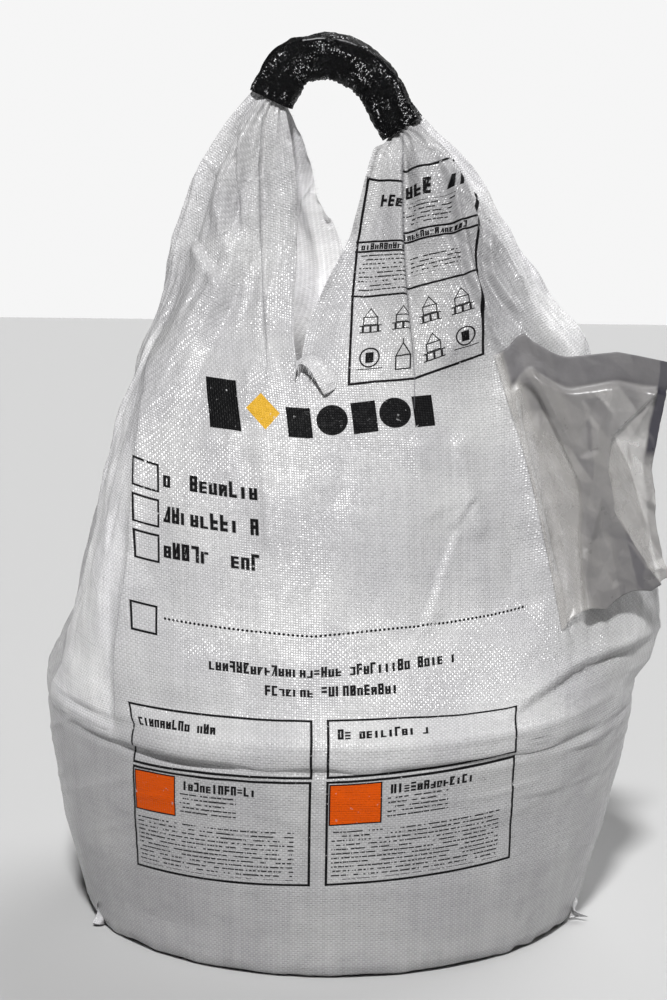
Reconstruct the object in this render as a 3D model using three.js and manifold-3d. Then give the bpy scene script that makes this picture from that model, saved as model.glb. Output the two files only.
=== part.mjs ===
// One-loop bulk bag of plaster, standing on its filled base.
// Millimetres, +Z up, front at -Y, origin at the middle of the flat base.
import * as THREE from 'three';
import { ParametricGeometry } from 'three/addons/geometries/ParametricGeometry.js';
import { mergeGeometries, mergeVertices } from 'three/addons/utils/BufferGeometryUtils.js';
import Module from 'manifold-3d';

// Driving dimensions
const WALL = 3;                // woven fabric, drawn thicker than it is
const GAP = 0.3;               // between pieces that touch
const FILL_GAP = 0.4;          // between the wall and the powder, measured along the slope
const COLUMNS = 48;            // round the bag, starting at the front centre
const HALF = COLUMNS / 2;
const FRONT_SLIT_FOOT = 965;   // height where the front slit starts
const BACK_SLIT_FOOT = 1130;   // height where the back slit starts
const LEG_TOP = 1376.5;        // height of the slit edges at the sleeve, left leg
const TILT_FOOT = 1200;        // above this height the legs lean into the loop
const TILT_LEFT = -70;         // where the lean of the left leg starts, along X
const TILT_RIGHT = 85;         // where the lean of the right leg starts
const TILT_DROP = -51;         // how much lower the right leg ends than the left one
const LEFT_LEAN = 0.478;       // rise of a leg's top for each millimetre outwards
const RIGHT_LEAN = 0.65;
const RIM_SHIFT = 11;          // how far the rim of the filled body leans to the right
const RIM_HEIGHT = 385;

// Wall of the filled body: height, radius, and how much lower the wall is at the front
const BODY_WALL = [
  [0, 0, 0],
  [0, 206, 0],
  [0, 412, 0],
  [7, 426, 0],
  [22, 434, 0],
  [75, 447, 0],
  [165, 472, 0],
  [275, 491, 1],
  [343, 501, 5],
  [368, 504, 10],
  [380, 497, 11],
  [393, 507, 10],
];
const FILL_RIM_ROW = 9;        // the powder reaches this row of the wall
const HEAP_HEIGHT = 160;       // how far the powder heaps up in the middle
const HEAP_FALL = 1.6;         // over 1 gives the heap a round top
const HEAP_RINGS = [0.93, 0.78, 0.56, 0.3, 0];

// Rails of the empty upper part: height, x, y
const FRONT = [
  [450, 8, -468], [520, 4, -432], [600, 0, -385], [690, -5, -348],
  [780, -12, -310], [870, -22, -263], [FRONT_SLIT_FOOT, -40, -212],
];
const BACK = [
  [450, 8, 462], [520, 6, 428], [600, 4, 385], [690, 2, 345], [780, 2, 305],
  [870, 5, 258], [965, 10, 205], [1050, 14, 152], [BACK_SLIT_FOOT, 18, 104],
];
const FRONT_RIGHT_EDGE = [
  [FRONT_SLIT_FOOT, -40, -212], [1045, -27, -150], [1130, 12, -104],
  [1185, 36, -80], [1265, 57, -55], [1330, 72, -32], [LEG_TOP, 93.7, -10],
];
const FRONT_LEFT_EDGE = [
  [FRONT_SLIT_FOOT, -40, -212], [1030, -54, -168], [1130, -55, -104],
  [1240, -56, -62], [1330, -68, -34], [LEG_TOP, -80.6, -10],
];
const BACK_RIGHT_EDGE = [
  [BACK_SLIT_FOOT, 18, 104], [1185, 42, 80], [1265, 62, 55],
  [1330, 76, 32], [LEG_TOP, 93.7, 10],
];
const BACK_LEFT_EDGE = [
  [BACK_SLIT_FOOT, 18, 104], [1185, -7, 80], [1230, -32, 66],
  [1290, -46, 48], [1330, -56, 34], [LEG_TOP, -80.6, 10],
];
const FRONT_RIGHT_FOLD = [
  [450, 395, -290], [520, 387, -238], [600, 372, -198], [780, 331, -175], [870, 304, -165],
  [965, 272, -150], [1045, 248, -125], [1130, 222, -98], [1240, 190, -66],
  [1330, 150, -36], [LEG_TOP, 119.7, -15],
];
const FRONT_LEFT_FOLD = [
  [450, -352, -345], [520, -350, -328], [600, -345, -305], [690, -340, -272], [780, -330, -235],
  [870, -306, -196], [965, -270, -158], [1030, -240, -132], [1130, -192, -92],
  [1240, -168, -58], [1330, -138, -32], [LEG_TOP, -108.5, -15],
];
const RIGHT_SIDE = [
  [450, 541, 0], [520, 556, 0], [600, 549, 0], [690, 529, 0], [780, 503, 0], [870, 470, 0],
  [965, 438, 0], [1000, 420, 0], [1054, 375, 0], [1130, 326, 0], [1240, 246, 0],
  [1330, 172, 0], [LEG_TOP, 140.7, 0],
];
const LEFT_SIDE = [
  [450, -470, 0], [520, -451, 0], [600, -422, 0], [780, -364, 0], [965, -312, 0],
  [1130, -274, 0], [1240, -238, 0], [1290, -212, 0], [1330, -180, 0], [LEG_TOP, -131, 0],
];
const BACK_RIGHT_FOLD = [
  [450, 385, 315], [600, 372, 248], [780, 345, 198], [965, 285, 150], [1130, 225, 94],
  [1240, 190, 64], [1330, 150, 36], [LEG_TOP, 119.7, 15],
];
const BACK_LEFT_FOLD = [
  [450, -352, 318], [600, -340, 245], [780, -318, 165], [965, -262, 122], [1130, -195, 84],
  [1240, -168, 54], [1330, -138, 32], [LEG_TOP, -108.5, 15],
];
const UPPER_ROWS = [
  450, 520, 600, 690, 780, 870, FRONT_SLIT_FOOT, 1020, 1075, BACK_SLIT_FOOT,
  1185, 1240, 1290, 1335, LEG_TOP,
];
const ROWS = BODY_WALL.length + UPPER_ROWS.length - 1;

// Deep folds that gather the slack at the sides and the back: column, depth
const DEEP_FOLDS = [
  [13, 38], [15, 48], [17, 42], [19, 52], [21, 44], [23, 40],
  [25, 42], [27, 50], [29, 44], [31, 50], [33, 44], [35, 36],
];
const FOLDS_START = [500, 800];       // heights between which they grow
const FOLDS_THIN = [950, 1200];       // heights between which the legs take some away
const FOLDS_THINNED = 0.6;
const FOLDS_END = [1280, LEG_TOP];    // heights between which they close

// Lifting loop: the middle line of the fabric bundle, in the plane y = 0
const LOOP_LINE = [
  [-104, 1392], [-96, 1409], [-69, 1449], [-22, 1463], [7, 1462], [33, 1452],
  [62, 1433], [82, 1406], [97, 1374], [115.5, 1345],
];
const BUNDLE_TAIL = 34;        // how far the bundle runs on below each end of the sleeve
const TAIL_LAP = 5;
const BUNDLE_WIDTH = 67;       // in the plane of the loop
const BUNDLE_DEPTH = 35;
const BUNDLE_CORNER = 13;
const SLEEVE_WALL = 3.2;
const LOOP_STEPS = 13;
const CORNER_SEGMENTS = 4;
const WELD_DISTANCE = 0.01;

// Corner of the bottom seam that sticks out at the right
const EAR_COLUMN = 10;
const EAR_THICKNESS = 5;
const EAR_OUTLINE = [[424, 6], [452, 3], [463, 11], [452, 30], [439, 42], [433, 22]];

// Document pouch: left edge on the bag, free right edge
const POUCH_WALL = 4;
const POUCH_LIFT = 1.2;        // clears the flat faces of the bag under the left edge
const POUCH_COLUMNS = 10;
const POUCH_ROWS = 12;
const POUCH_BAG_COLUMN = 7;    // column of the bag that its left edge lies on
const POUCH_BOTTOM = 545;
const POUCH_TOP = 985;
const POUCH_BOTTOM_RISE = 50;  // how much higher the bottom edge is at the right
const POUCH_RIGHT = 567;
const POUCH_NOTCH = 27;        // how far the right edge pulls in at half height
const POUCH_RIGHT_Y = [-118, -92];
const POUCH_BULGE = 14;        // how far the film stands out at mid width
const TONGUE_RISE = 36;        // corner of film that stands up at the top left
const TONGUE_PLACE = 0.2;      // its share of the way from the left edge to the right one
const TONGUE_WIDTH = 0.12;

const wasm = await Module();
wasm.setup();

// A smooth value between the points of a rail, by height
function slopeAt(rail, index, axis) {
  const low = rail[Math.max(index - 1, 0)];
  const high = rail[Math.min(index + 1, rail.length - 1)];
  return (high[axis] - low[axis]) / (high[0] - low[0]);
}

function railValue(rail, height, axis) {
  const found = rail.findIndex((point) => point[0] >= height);
  const k = Math.max(found, 1);
  const [low, high] = [rail[k - 1], rail[k]];
  const span = high[0] - low[0];
  const t = (height - low[0]) / span;
  const bend = t * (1 - t) * span;
  const start = slopeAt(rail, k - 1, axis);
  const end = slopeAt(rail, k, axis);
  const ease = t * t * (3 - 2 * t);
  return low[axis] + (high[axis] - low[axis]) * ease + bend * (start * (1 - t) - end * t);
}

function railPoint(rail, height) {
  return new THREE.Vector3(railValue(rail, height, 1), railValue(rail, height, 2), height);
}

// Cross-section of the empty upper part: closed below the slits, two legs above them
function sectionCurves(height) {
  const at = (...rails) => rails.map((rail) => railPoint(rail, height));
  const right = at(FRONT_RIGHT_FOLD, RIGHT_SIDE, BACK_RIGHT_FOLD);
  const left = at(BACK_LEFT_FOLD, LEFT_SIDE, FRONT_LEFT_FOLD);
  const curve = (points, closed) => new THREE.CatmullRomCurve3(points, closed, 'centripetal');
  if (height <= FRONT_SLIT_FOOT) {
    const ring = curve([...at(FRONT), ...right, ...at(BACK), ...left], true);
    return { whole: ring };
  }
  const frontRight = at(FRONT_RIGHT_EDGE);
  const frontLeft = at(FRONT_LEFT_EDGE);
  if (height <= BACK_SLIT_FOOT) {
    const strip = [...frontRight, ...right, ...at(BACK), ...left, ...frontLeft];
    return { whole: curve(strip, false) };
  }
  return {
    right: curve([...frontRight, ...right, ...at(BACK_RIGHT_EDGE)], false),
    left: curve([...at(BACK_LEFT_EDGE), ...left, ...frontLeft], false),
  };
}

const SECTIONS = UPPER_ROWS.map(sectionCurves);

// The legs lean so that their tops stand square to the loop
function tiltedHeight(height, x) {
  const share = Math.max(0, (height - TILT_FOOT) / (LEG_TOP - TILT_FOOT)) ** 3;
  if (x < TILT_LEFT) {
    return height + share * LEFT_LEAN * (TILT_LEFT - x);
  }
  if (x > TILT_RIGHT) {
    return height + share * (TILT_DROP + RIGHT_LEAN * (x - TILT_RIGHT));
  }
  return height + (share * TILT_DROP * (x - TILT_LEFT)) / (TILT_RIGHT - TILT_LEFT);
}

function sectionPoint(section, column, half) {
  if (section.whole) {
    if (column === COLUMNS && !section.whole.closed) {
      return section.whole.getPoint(1);
    }
    return section.whole.getPoint((column % COLUMNS) / COLUMNS);
  }
  return section[half].getPoint((column - (half === 'left' ? HALF : 0)) / HALF);
}

function foldDepth(column, height) {
  const fold = DEEP_FOLDS.find(([place]) => place === column);
  if (!fold) {
    return 0;
  }
  const grown = THREE.MathUtils.smoothstep(height, ...FOLDS_START);
  const thinned = 1 - FOLDS_THINNED * THREE.MathUtils.smoothstep(height, ...FOLDS_THIN);
  const open = 1 - THREE.MathUtils.smoothstep(height, ...FOLDS_END);
  return fold[1] * grown * thinned * open;
}

function upperPoint(column, row, half) {
  const section = SECTIONS[row - BODY_WALL.length];
  const point = sectionPoint(section, column, half);
  const depth = foldDepth(column, point.z);
  if (depth > 0) {
    const beside = sectionPoint(section, column + 1, half)
      .sub(sectionPoint(section, column - 1, half))
      .normalize();
    point.x -= beside.y * depth;
    point.y += beside.x * depth;
  }
  point.z = tiltedHeight(point.z, point.x);
  return point;
}

function ringPoint(column, height, radius, frontDrop) {
  const angle = (2 * Math.PI * (column % COLUMNS)) / COLUMNS;
  const shift = (RIM_SHIFT * height) / RIM_HEIGHT;
  const drop = frontDrop * Math.max(0, Math.cos(angle)) ** 2;
  return new THREE.Vector3(
    shift + radius * Math.sin(angle),
    -radius * Math.cos(angle),
    height - drop,
  );
}

function bagPoint(column, row, half) {
  if (row < BODY_WALL.length) {
    return ringPoint(column, ...BODY_WALL[row]);
  }
  return upperPoint(column, row, half);
}

// One half of the woven tube as a grid, from one slit to the other
function halfSheet(half) {
  const start = half === 'left' ? HALF : 0;
  const place = (u, v, target) => {
    const column = start + Math.round(u * HALF);
    target.copy(bagPoint(column, Math.round(v * ROWS), half));
  };
  return new ParametricGeometry(place, HALF, ROWS);
}

// Joins equal corners and drops faces that have shrunk to a line
function welded(geometry) {
  geometry.deleteAttribute('normal');
  geometry.deleteAttribute('uv');
  const merged = mergeVertices(geometry, WELD_DISTANCE);
  const kept = [];
  const corners = merged.index.array;
  for (let i = 0; i < corners.length; i += 3) {
    const [a, b, c] = [corners[i], corners[i + 1], corners[i + 2]];
    if (a !== b && b !== c && c !== a) {
      kept.push(a, b, c);
    }
  }
  merged.setIndex(kept);
  merged.computeVertexNormals();
  return merged;
}

// Gives an open sheet a thickness on its inner side
function thickSheet(sheet, thickness) {
  const outer = sheet.attributes.position;
  const normal = sheet.attributes.normal;
  const count = outer.count;
  const corners = Array.from(sheet.index.array);
  const points = Array.from(outer.array);
  for (let i = 0; i < count * 3; i += 1) {
    points.push(outer.array[i] - normal.array[i] * thickness);
  }
  const faces = [...corners];
  const used = new Set();
  for (let i = 0; i < corners.length; i += 3) {
    const [a, b, c] = corners.slice(i, i + 3);
    faces.push(a + count, c + count, b + count);
    used.add(`${a} ${b}`).add(`${b} ${c}`).add(`${c} ${a}`);
  }
  for (const edge of used) {
    const [a, b] = edge.split(' ').map(Number);
    if (!used.has(`${b} ${a}`)) {
      faces.push(b, a, a + count, b, a + count, b + count);
    }
  }
  const solid = new THREE.BufferGeometry();
  solid.setAttribute('position', new THREE.Float32BufferAttribute(points, 3));
  solid.setIndex(faces);
  return solid;
}

function toManifold(geometry) {
  return new wasm.Manifold(new wasm.Mesh({
    numProp: 3,
    vertProperties: new Float32Array(geometry.attributes.position.array),
    triVerts: new Uint32Array(geometry.index.array),
  }));
}

function fromManifold(solid) {
  const mesh = solid.getMesh();
  const geometry = new THREE.BufferGeometry();
  geometry.setAttribute('position', new THREE.BufferAttribute(mesh.vertProperties, 3));
  geometry.setIndex(new THREE.BufferAttribute(mesh.triVerts, 1));
  return geometry;
}

// Outline of the bundle: a rectangle with round corners, depth across and width up
function roundedOutline(depth, width, corner, Outline) {
  const [x, y] = [depth / 2, width / 2];
  const outline = new Outline();
  outline.moveTo(x, -y + corner);
  outline.lineTo(x, y - corner);
  outline.absarc(x - corner, y - corner, corner, 0, Math.PI / 2, false);
  outline.absarc(-x + corner, y - corner, corner, Math.PI / 2, Math.PI, false);
  outline.absarc(-x + corner, -y + corner, corner, Math.PI, 1.5 * Math.PI, false);
  outline.absarc(x - corner, -y + corner, corner, 1.5 * Math.PI, 2 * Math.PI, false);
  return outline;
}

function loopPoints() {
  return LOOP_LINE.map(([x, z]) => new THREE.Vector3(x, 0, z));
}

// A straight stretch that carries the bundle on below one end of the sleeve
function bundleTail(end, inner) {
  const along = end.clone().sub(inner).normalize();
  const start = end.clone().addScaledVector(along, -TAIL_LAP);
  const stop = end.clone().addScaledVector(along, BUNDLE_TAIL);
  const outline = roundedOutline(
    BUNDLE_DEPTH - 1,
    BUNDLE_WIDTH - 1,
    BUNDLE_CORNER - 0.5,
    THREE.Shape,
  );
  return sweep(outline, [start, stop], 1);
}

function sweep(outline, points, steps) {
  const path = new THREE.CatmullRomCurve3(points, false, 'centripetal');
  return welded(new THREE.ExtrudeGeometry(outline, {
    steps,
    curveSegments: CORNER_SEGMENTS,
    extrudePath: path,
    bevelEnabled: false,
  }));
}

// The gathered fabric that runs through the sleeve and down into both legs
function fabricBundle() {
  const line = loopPoints();
  const last = line.length - 1;
  const outline = roundedOutline(BUNDLE_DEPTH, BUNDLE_WIDTH, BUNDLE_CORNER, THREE.Shape);
  return toManifold(sweep(outline, line, LOOP_STEPS))
    .add(toManifold(bundleTail(line[0], line[1])))
    .add(toManifold(bundleTail(line[last], line[last - 1])));
}

function seamEar() {
  const shape = new THREE.Shape(EAR_OUTLINE.map(([r, z]) => new THREE.Vector2(r, z)));
  const ear = new THREE.ExtrudeGeometry(shape, { depth: EAR_THICKNESS, bevelEnabled: false });
  ear.translate(0, 0, -EAR_THICKNESS / 2);
  ear.rotateX(Math.PI / 2);
  ear.rotateZ((2 * Math.PI * EAR_COLUMN) / COLUMNS - Math.PI / 2);
  return welded(ear);
}

function wovenBag() {
  const sheet = welded(mergeGeometries([halfSheet('right'), halfSheet('left')]));
  const wall = toManifold(thickSheet(sheet, WALL));
  const ear = toManifold(seamEar());
  return fromManifold(wall.add(fabricBundle()).add(ear));
}

function loopSleeve() {
  const inner = [BUNDLE_DEPTH + 2 * GAP, BUNDLE_WIDTH + 2 * GAP, BUNDLE_CORNER + GAP];
  const outline = roundedOutline(
    inner[0] + 2 * SLEEVE_WALL,
    inner[1] + 2 * SLEEVE_WALL,
    inner[2] + SLEEVE_WALL,
    THREE.Shape,
  );
  outline.holes.push(roundedOutline(...inner, THREE.Path));
  return sweep(outline, loopPoints(), LOOP_STEPS);
}

// A row of the powder: the body wall moved in by the fabric and a small gap
function fillRing(row) {
  const inset = WALL + FILL_GAP;
  const [height, radius, drop] = BODY_WALL[row];
  if (row === 0) {
    return [inset, 0, 0];
  }
  const below = BODY_WALL[row - 1];
  const above = BODY_WALL[row + 1];
  const slope = new THREE.Vector2(above[1] - below[1], above[0] - below[0]).normalize();
  return [height + inset * slope.x, radius - inset * slope.y, drop];
}

function plasterFill() {
  const rings = [];
  for (let row = 0; row <= FILL_RIM_ROW; row += 1) {
    rings.push(fillRing(row));
  }
  const [rimHeight, rimRadius, rimDrop] = rings[FILL_RIM_ROW];
  for (const share of HEAP_RINGS) {
    const height = rimHeight + HEAP_HEIGHT * (1 - share ** HEAP_FALL);
    rings.push([height, rimRadius * share, rimDrop * share]);
  }
  const place = (u, v, target) => {
    const ring = rings[Math.round(v * (rings.length - 1))];
    target.copy(ringPoint(Math.round(u * COLUMNS), ...ring));
    if (ring[1] === 0) {
      target.x = 0;
    }
  };
  return welded(new ParametricGeometry(place, COLUMNS, rings.length - 1));
}

// The surface of the bag at a column and height, between its rows
function bagSurface(column, height) {
  const heights = UPPER_ROWS;
  const k = Math.max(heights.findIndex((rowHeight) => rowHeight >= height), 1);
  const share = (height - heights[k - 1]) / (heights[k] - heights[k - 1]);
  const row = BODY_WALL.length + k;
  const low = upperPoint(column, row - 1, 'right');
  return low.lerp(upperPoint(column, row, 'right'), share);
}

function pouchPoint(u, v, target) {
  const tongue = TONGUE_RISE * Math.exp(-(((u - TONGUE_PLACE) / TONGUE_WIDTH) ** 2));
  const bottom = POUCH_BOTTOM + POUCH_BOTTOM_RISE * u;
  const height = THREE.MathUtils.lerp(bottom, POUCH_TOP + tongue, v);
  const left = bagSurface(POUCH_BAG_COLUMN, height);
  const beside = bagSurface(POUCH_BAG_COLUMN + 1, height).sub(left).setZ(0).normalize();
  left.x += beside.y * (POUCH_WALL + POUCH_LIFT);
  left.y -= beside.x * (POUCH_WALL + POUCH_LIFT);
  const rightX = POUCH_RIGHT - POUCH_NOTCH * Math.sin(Math.PI * v);
  const rightY = THREE.MathUtils.lerp(POUCH_RIGHT_Y[0], POUCH_RIGHT_Y[1], v);
  target.set(
    THREE.MathUtils.lerp(left.x, rightX, u),
    THREE.MathUtils.lerp(left.y, rightY, u) - POUCH_BULGE * Math.sin(Math.PI * u),
    height,
  );
}

function documentPouch() {
  const sheet = new ParametricGeometry(pouchPoint, POUCH_COLUMNS, POUCH_ROWS);
  return thickSheet(welded(sheet), POUCH_WALL);
}

function part(name, geometry, color, roughness, metalness = 0) {
  const material = new THREE.MeshStandardMaterial({ color, roughness, metalness });
  const mesh = new THREE.Mesh(geometry, material);
  mesh.name = name;
  return mesh;
}

const bag = new THREE.Group();
bag.add(part('woven_bag', wovenBag(), '#c9ccd2', 0.5));
bag.add(part('loop_sleeve', loopSleeve(), '#1b1b1c', 0.35));
bag.add(part('plaster_fill', plasterFill(), '#d8d3c8', 0.95));
bag.add(part('document_pouch', documentPouch(), '#9a9da0', 0.3));

export default bag;
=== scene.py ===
import itertools
import math

import bmesh
import bpy
import numpy as np
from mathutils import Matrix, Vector
from mathutils.geometry import delaunay_2d_cdt
from mathutils.kdtree import KDTree


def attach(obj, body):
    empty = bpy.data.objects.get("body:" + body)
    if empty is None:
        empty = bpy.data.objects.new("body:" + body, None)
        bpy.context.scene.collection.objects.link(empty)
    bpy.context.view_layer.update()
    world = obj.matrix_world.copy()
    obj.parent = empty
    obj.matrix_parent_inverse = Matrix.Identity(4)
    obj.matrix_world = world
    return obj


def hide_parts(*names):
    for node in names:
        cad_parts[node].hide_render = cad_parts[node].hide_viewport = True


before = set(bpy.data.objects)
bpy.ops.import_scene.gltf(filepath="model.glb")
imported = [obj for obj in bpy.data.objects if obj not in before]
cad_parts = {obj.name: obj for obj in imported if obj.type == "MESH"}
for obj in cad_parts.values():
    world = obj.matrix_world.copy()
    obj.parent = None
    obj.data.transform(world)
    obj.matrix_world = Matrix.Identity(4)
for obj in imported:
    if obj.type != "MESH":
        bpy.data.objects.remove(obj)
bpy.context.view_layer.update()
scene = bpy.context.scene

# The camera stands 5 m in front of the bag, a little to its right and above it,
# and looks down at it. The view is as narrow as a long lens gives.
CAMERA_AZIMUTH = math.radians(4.7)
CAMERA_PITCH = math.radians(11.66)
CAMERA_DISTANCE = 5.05
CAMERA_HEIGHT = 1.75
FILM_HEIGHT_MM = 36
LENS_MM = 108


def linked(name, data):
    """A new object of the scene with these data."""
    made = bpy.data.objects.new(name, data)
    scene.collection.objects.link(made)
    return made


camera_data = bpy.data.cameras.new("camera")
camera_data.sensor_width = FILM_HEIGHT_MM
camera_data.lens = LENS_MM
camera = linked("camera", camera_data)
camera.location = (
    CAMERA_DISTANCE * math.sin(CAMERA_AZIMUTH),
    -CAMERA_DISTANCE * math.cos(CAMERA_AZIMUTH),
    CAMERA_HEIGHT,
)
camera.rotation_euler = (math.pi / 2 - CAMERA_PITCH, 0, CAMERA_AZIMUTH)
scene.camera = camera

# A pale studio floor, a sun from the front above and a weak, wide sun from behind.
# Thin white cloth lets daylight into the empty top: a small lamp inside stands for it.
scene.view_settings.view_transform = "Standard"
SUNS = [
    # name, energy, width of its disc, tilt and turn in degrees
    ("key_light", 3.85, 6, 38, 2),
    ("back_light", 2.1, 50, -48, -35),
]
for name, energy, wide, tilt, turned in SUNS:
    sun_data = bpy.data.lights.new(name, "SUN")
    sun_data.energy = energy
    sun_data.angle = math.radians(wide)
    linked(name, sun_data).rotation_euler = (math.radians(tilt), 0, math.radians(turned))
inside_data = bpy.data.lights.new("inside_light", "POINT")
inside_data.energy = 1.6
inside_data.shadow_soft_size = 0.10
inside = linked("inside_light", inside_data)
inside.location = (0.0, -0.02, 0.98)
inside.visible_camera = inside.visible_glossy = False

SKY_SEEN = 0.92                 # brightness of the surroundings in the picture
SKY_LIGHT = 0.04                # and as a light
world = bpy.data.worlds.new("studio")
world.use_nodes = True
world_tree = world.node_tree
sky = world_tree.nodes["Background"]
ray_kind = world_tree.nodes.new("ShaderNodeLightPath")
brightness = world_tree.nodes.new("ShaderNodeMapRange")
brightness.inputs["To Min"].default_value = SKY_LIGHT
brightness.inputs["To Max"].default_value = SKY_SEEN
world_tree.links.new(ray_kind.outputs["Is Camera Ray"], brightness.inputs["Value"])
world_tree.links.new(brightness.outputs["Result"], sky.inputs["Strength"])
sky.inputs["Color"].default_value = (1, 1, 1, 1)
scene.world = world

HALF_FLOOR = 7
FLOOR_GREY = (0.46, 0.46, 0.46, 1)
floor_mesh = bpy.data.meshes.new("floor")
floor_corners = [(a * HALF_FLOOR, b * HALF_FLOOR, 0) for a, b in ((-1, -1), (1, -1), (1, 1), (-1, 1))]
floor_mesh.from_pydata(floor_corners, [], [(0, 1, 2, 3)])
floor = linked("floor", floor_mesh)
floor_paint = bpy.data.materials.new("pale_floor")
floor_paint.use_nodes = True
floor_shader = floor_paint.node_tree.nodes["Principled BSDF"]
floor_shader.inputs["Base Color"].default_value = FLOOR_GREY
floor_shader.inputs["Roughness"].default_value = 0.9
floor_mesh.materials.append(floor_paint)

# The woven bag, its cloth. A tube of laminated woven polypropylene, 3.2 m round,
# stands on its sewn bottom. It is full of powder to the tuck, where the slack
# cloth rolls over the body, and empty and tent-like above it. It is slit at the
# front and back, and each half is gathered into a leg of the lifting loop.
FRONT_SLIT_FOOT = 0.965
BACK_SLIT_FOOT = 1.130
LEG_TOP = 1.3765
TILT_FOOT = 1.2
RIM_SHIFT = 0.011
RIM_HEIGHT = 0.385
TUCK_HEIGHT = 0.380
SLIT_OPENS = 0.07               # the cloth turns to its free edges over this height
TUBE_ROUND = 3.2
TOP_FOOT = 0.45                 # where the rails of the empty top start
STEPS = [84, 84, 26, 26, 26, 26, 84, 84]  # columns between the rails, from the front centre
HALF = sum(STEPS[:4])
EDGE_ROW = 8                    # row of the bottom edge
TOP_ROWS = 170
BUNDLE_ROWS = 28                # rows of each leg inside the sleeve
MEETING_ROWS = 9                # rows over which a leg takes the form of the bundle
BEND_ROWS = 17                  # rows of the bend from the bottom into the wall
WALL_ROWS = 76

# Wall of the filled body: height, radius, how much lower it is at the front
BODY_WALL = [
    (0.000, 0.000, 0), (0.000, 0.412, 0), (0.007, 0.426, 0), (0.022, 0.434, 0), (0.075, 0.447, 0),
    (0.165, 0.472, 0), (0.275, 0.491, 0.001), (0.343, 0.501, 0.005), (0.368, 0.504, 0.010),
    (TUCK_HEIGHT, 0.502, 0.011), (0.393, 0.506, 0.010), (0.420, 0.506, 0.006),
]

# Rails of the empty top: height, x, y
FRONT = [
    (0.450, 0.008, -0.468), (0.520, 0.004, -0.432), (0.600, 0, -0.385), (0.690, -0.005, -0.348),
    (0.780, -0.012, -0.310), (0.870, -0.022, -0.263), (FRONT_SLIT_FOOT, -0.040, -0.212),
]
BACK = [
    (0.450, 0.008, 0.462), (0.520, 0.006, 0.428), (0.600, 0.004, 0.385), (0.690, 0.002, 0.345),
    (0.780, 0.002, 0.305), (0.870, 0.005, 0.258), (0.965, 0.010, 0.205), (1.050, 0.014, 0.152),
    (BACK_SLIT_FOOT, 0.018, 0.104),
]
FRONT_RIGHT_EDGE = [
    (FRONT_SLIT_FOOT, -0.040, -0.212), (1.045, -0.027, -0.150), (1.130, 0.012, -0.104),
    (1.185, 0.036, -0.080), (1.265, 0.057, -0.055), (1.330, 0.072, -0.032), (LEG_TOP, 0.0937, -0.010),
]
FRONT_LEFT_EDGE = [
    (FRONT_SLIT_FOOT, -0.040, -0.212), (1.030, -0.054, -0.168), (1.130, -0.055, -0.104),
    (1.240, -0.056, -0.062), (1.330, -0.068, -0.034), (LEG_TOP, -0.0806, -0.010),
]
BACK_RIGHT_EDGE = [
    (BACK_SLIT_FOOT, 0.018, 0.104), (1.185, 0.042, 0.080), (1.265, 0.062, 0.055),
    (1.330, 0.076, 0.032), (LEG_TOP, 0.0937, 0.010),
]
BACK_LEFT_EDGE = [
    (BACK_SLIT_FOOT, 0.018, 0.104), (1.185, -0.007, 0.080), (1.230, -0.032, 0.066),
    (1.290, -0.046, 0.048), (1.330, -0.056, 0.034), (LEG_TOP, -0.0806, 0.010),
]
FRONT_RIGHT_FOLD = [
    (0.450, 0.395, -0.290), (0.520, 0.387, -0.238), (0.600, 0.372, -0.198), (0.780, 0.331, -0.175),
    (0.870, 0.304, -0.165), (0.965, 0.272, -0.150), (1.045, 0.248, -0.125), (1.130, 0.222, -0.098),
    (1.240, 0.190, -0.066), (1.330, 0.150, -0.036), (LEG_TOP, 0.1197, -0.015),
]
FRONT_LEFT_FOLD = [
    (0.450, -0.352, -0.345), (0.520, -0.350, -0.328), (0.600, -0.345, -0.305),
    (0.690, -0.340, -0.272), (0.780, -0.330, -0.235), (0.870, -0.306, -0.196),
    (0.965, -0.270, -0.158), (1.030, -0.240, -0.132), (1.130, -0.192, -0.092),
    (1.240, -0.168, -0.058), (1.330, -0.138, -0.032), (LEG_TOP, -0.1085, -0.015),
]
RIGHT_SIDE = [
    (0.450, 0.541, 0), (0.520, 0.556, 0), (0.600, 0.549, 0), (0.690, 0.529, 0), (0.780, 0.503, 0),
    (0.870, 0.470, 0), (0.965, 0.438, 0), (1.000, 0.420, 0), (1.054, 0.375, 0), (1.130, 0.326, 0),
    (1.240, 0.246, 0), (1.330, 0.172, 0), (LEG_TOP, 0.1407, 0),
]
LEFT_SIDE = [
    (0.450, -0.470, 0), (0.520, -0.451, 0), (0.600, -0.422, 0), (0.780, -0.364, 0),
    (0.965, -0.312, 0), (1.130, -0.274, 0), (1.240, -0.238, 0), (1.290, -0.212, 0),
    (1.330, -0.180, 0), (LEG_TOP, -0.131, 0),
]
BACK_RIGHT_FOLD = [
    (0.450, 0.385, 0.315), (0.600, 0.372, 0.248), (0.780, 0.345, 0.198), (0.965, 0.285, 0.150),
    (1.130, 0.225, 0.094), (1.240, 0.190, 0.064), (1.330, 0.150, 0.036), (LEG_TOP, 0.1197, 0.015),
]
BACK_LEFT_FOLD = [
    (0.450, -0.352, 0.318), (0.600, -0.340, 0.245), (0.780, -0.318, 0.165), (0.965, -0.262, 0.122),
    (1.130, -0.195, 0.084), (1.240, -0.168, 0.054), (1.330, -0.138, 0.032), (LEG_TOP, -0.1085, 0.015),
]
RAILS = {
    "front": FRONT, "fre": FRONT_RIGHT_EDGE, "fr": FRONT_RIGHT_FOLD, "r": RIGHT_SIDE,
    "br": BACK_RIGHT_FOLD, "bre": BACK_RIGHT_EDGE, "back": BACK, "ble": BACK_LEFT_EDGE,
    "bl": BACK_LEFT_FOLD, "l": LEFT_SIDE, "fl": FRONT_LEFT_FOLD, "fle": FRONT_LEFT_EDGE,
}


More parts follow.
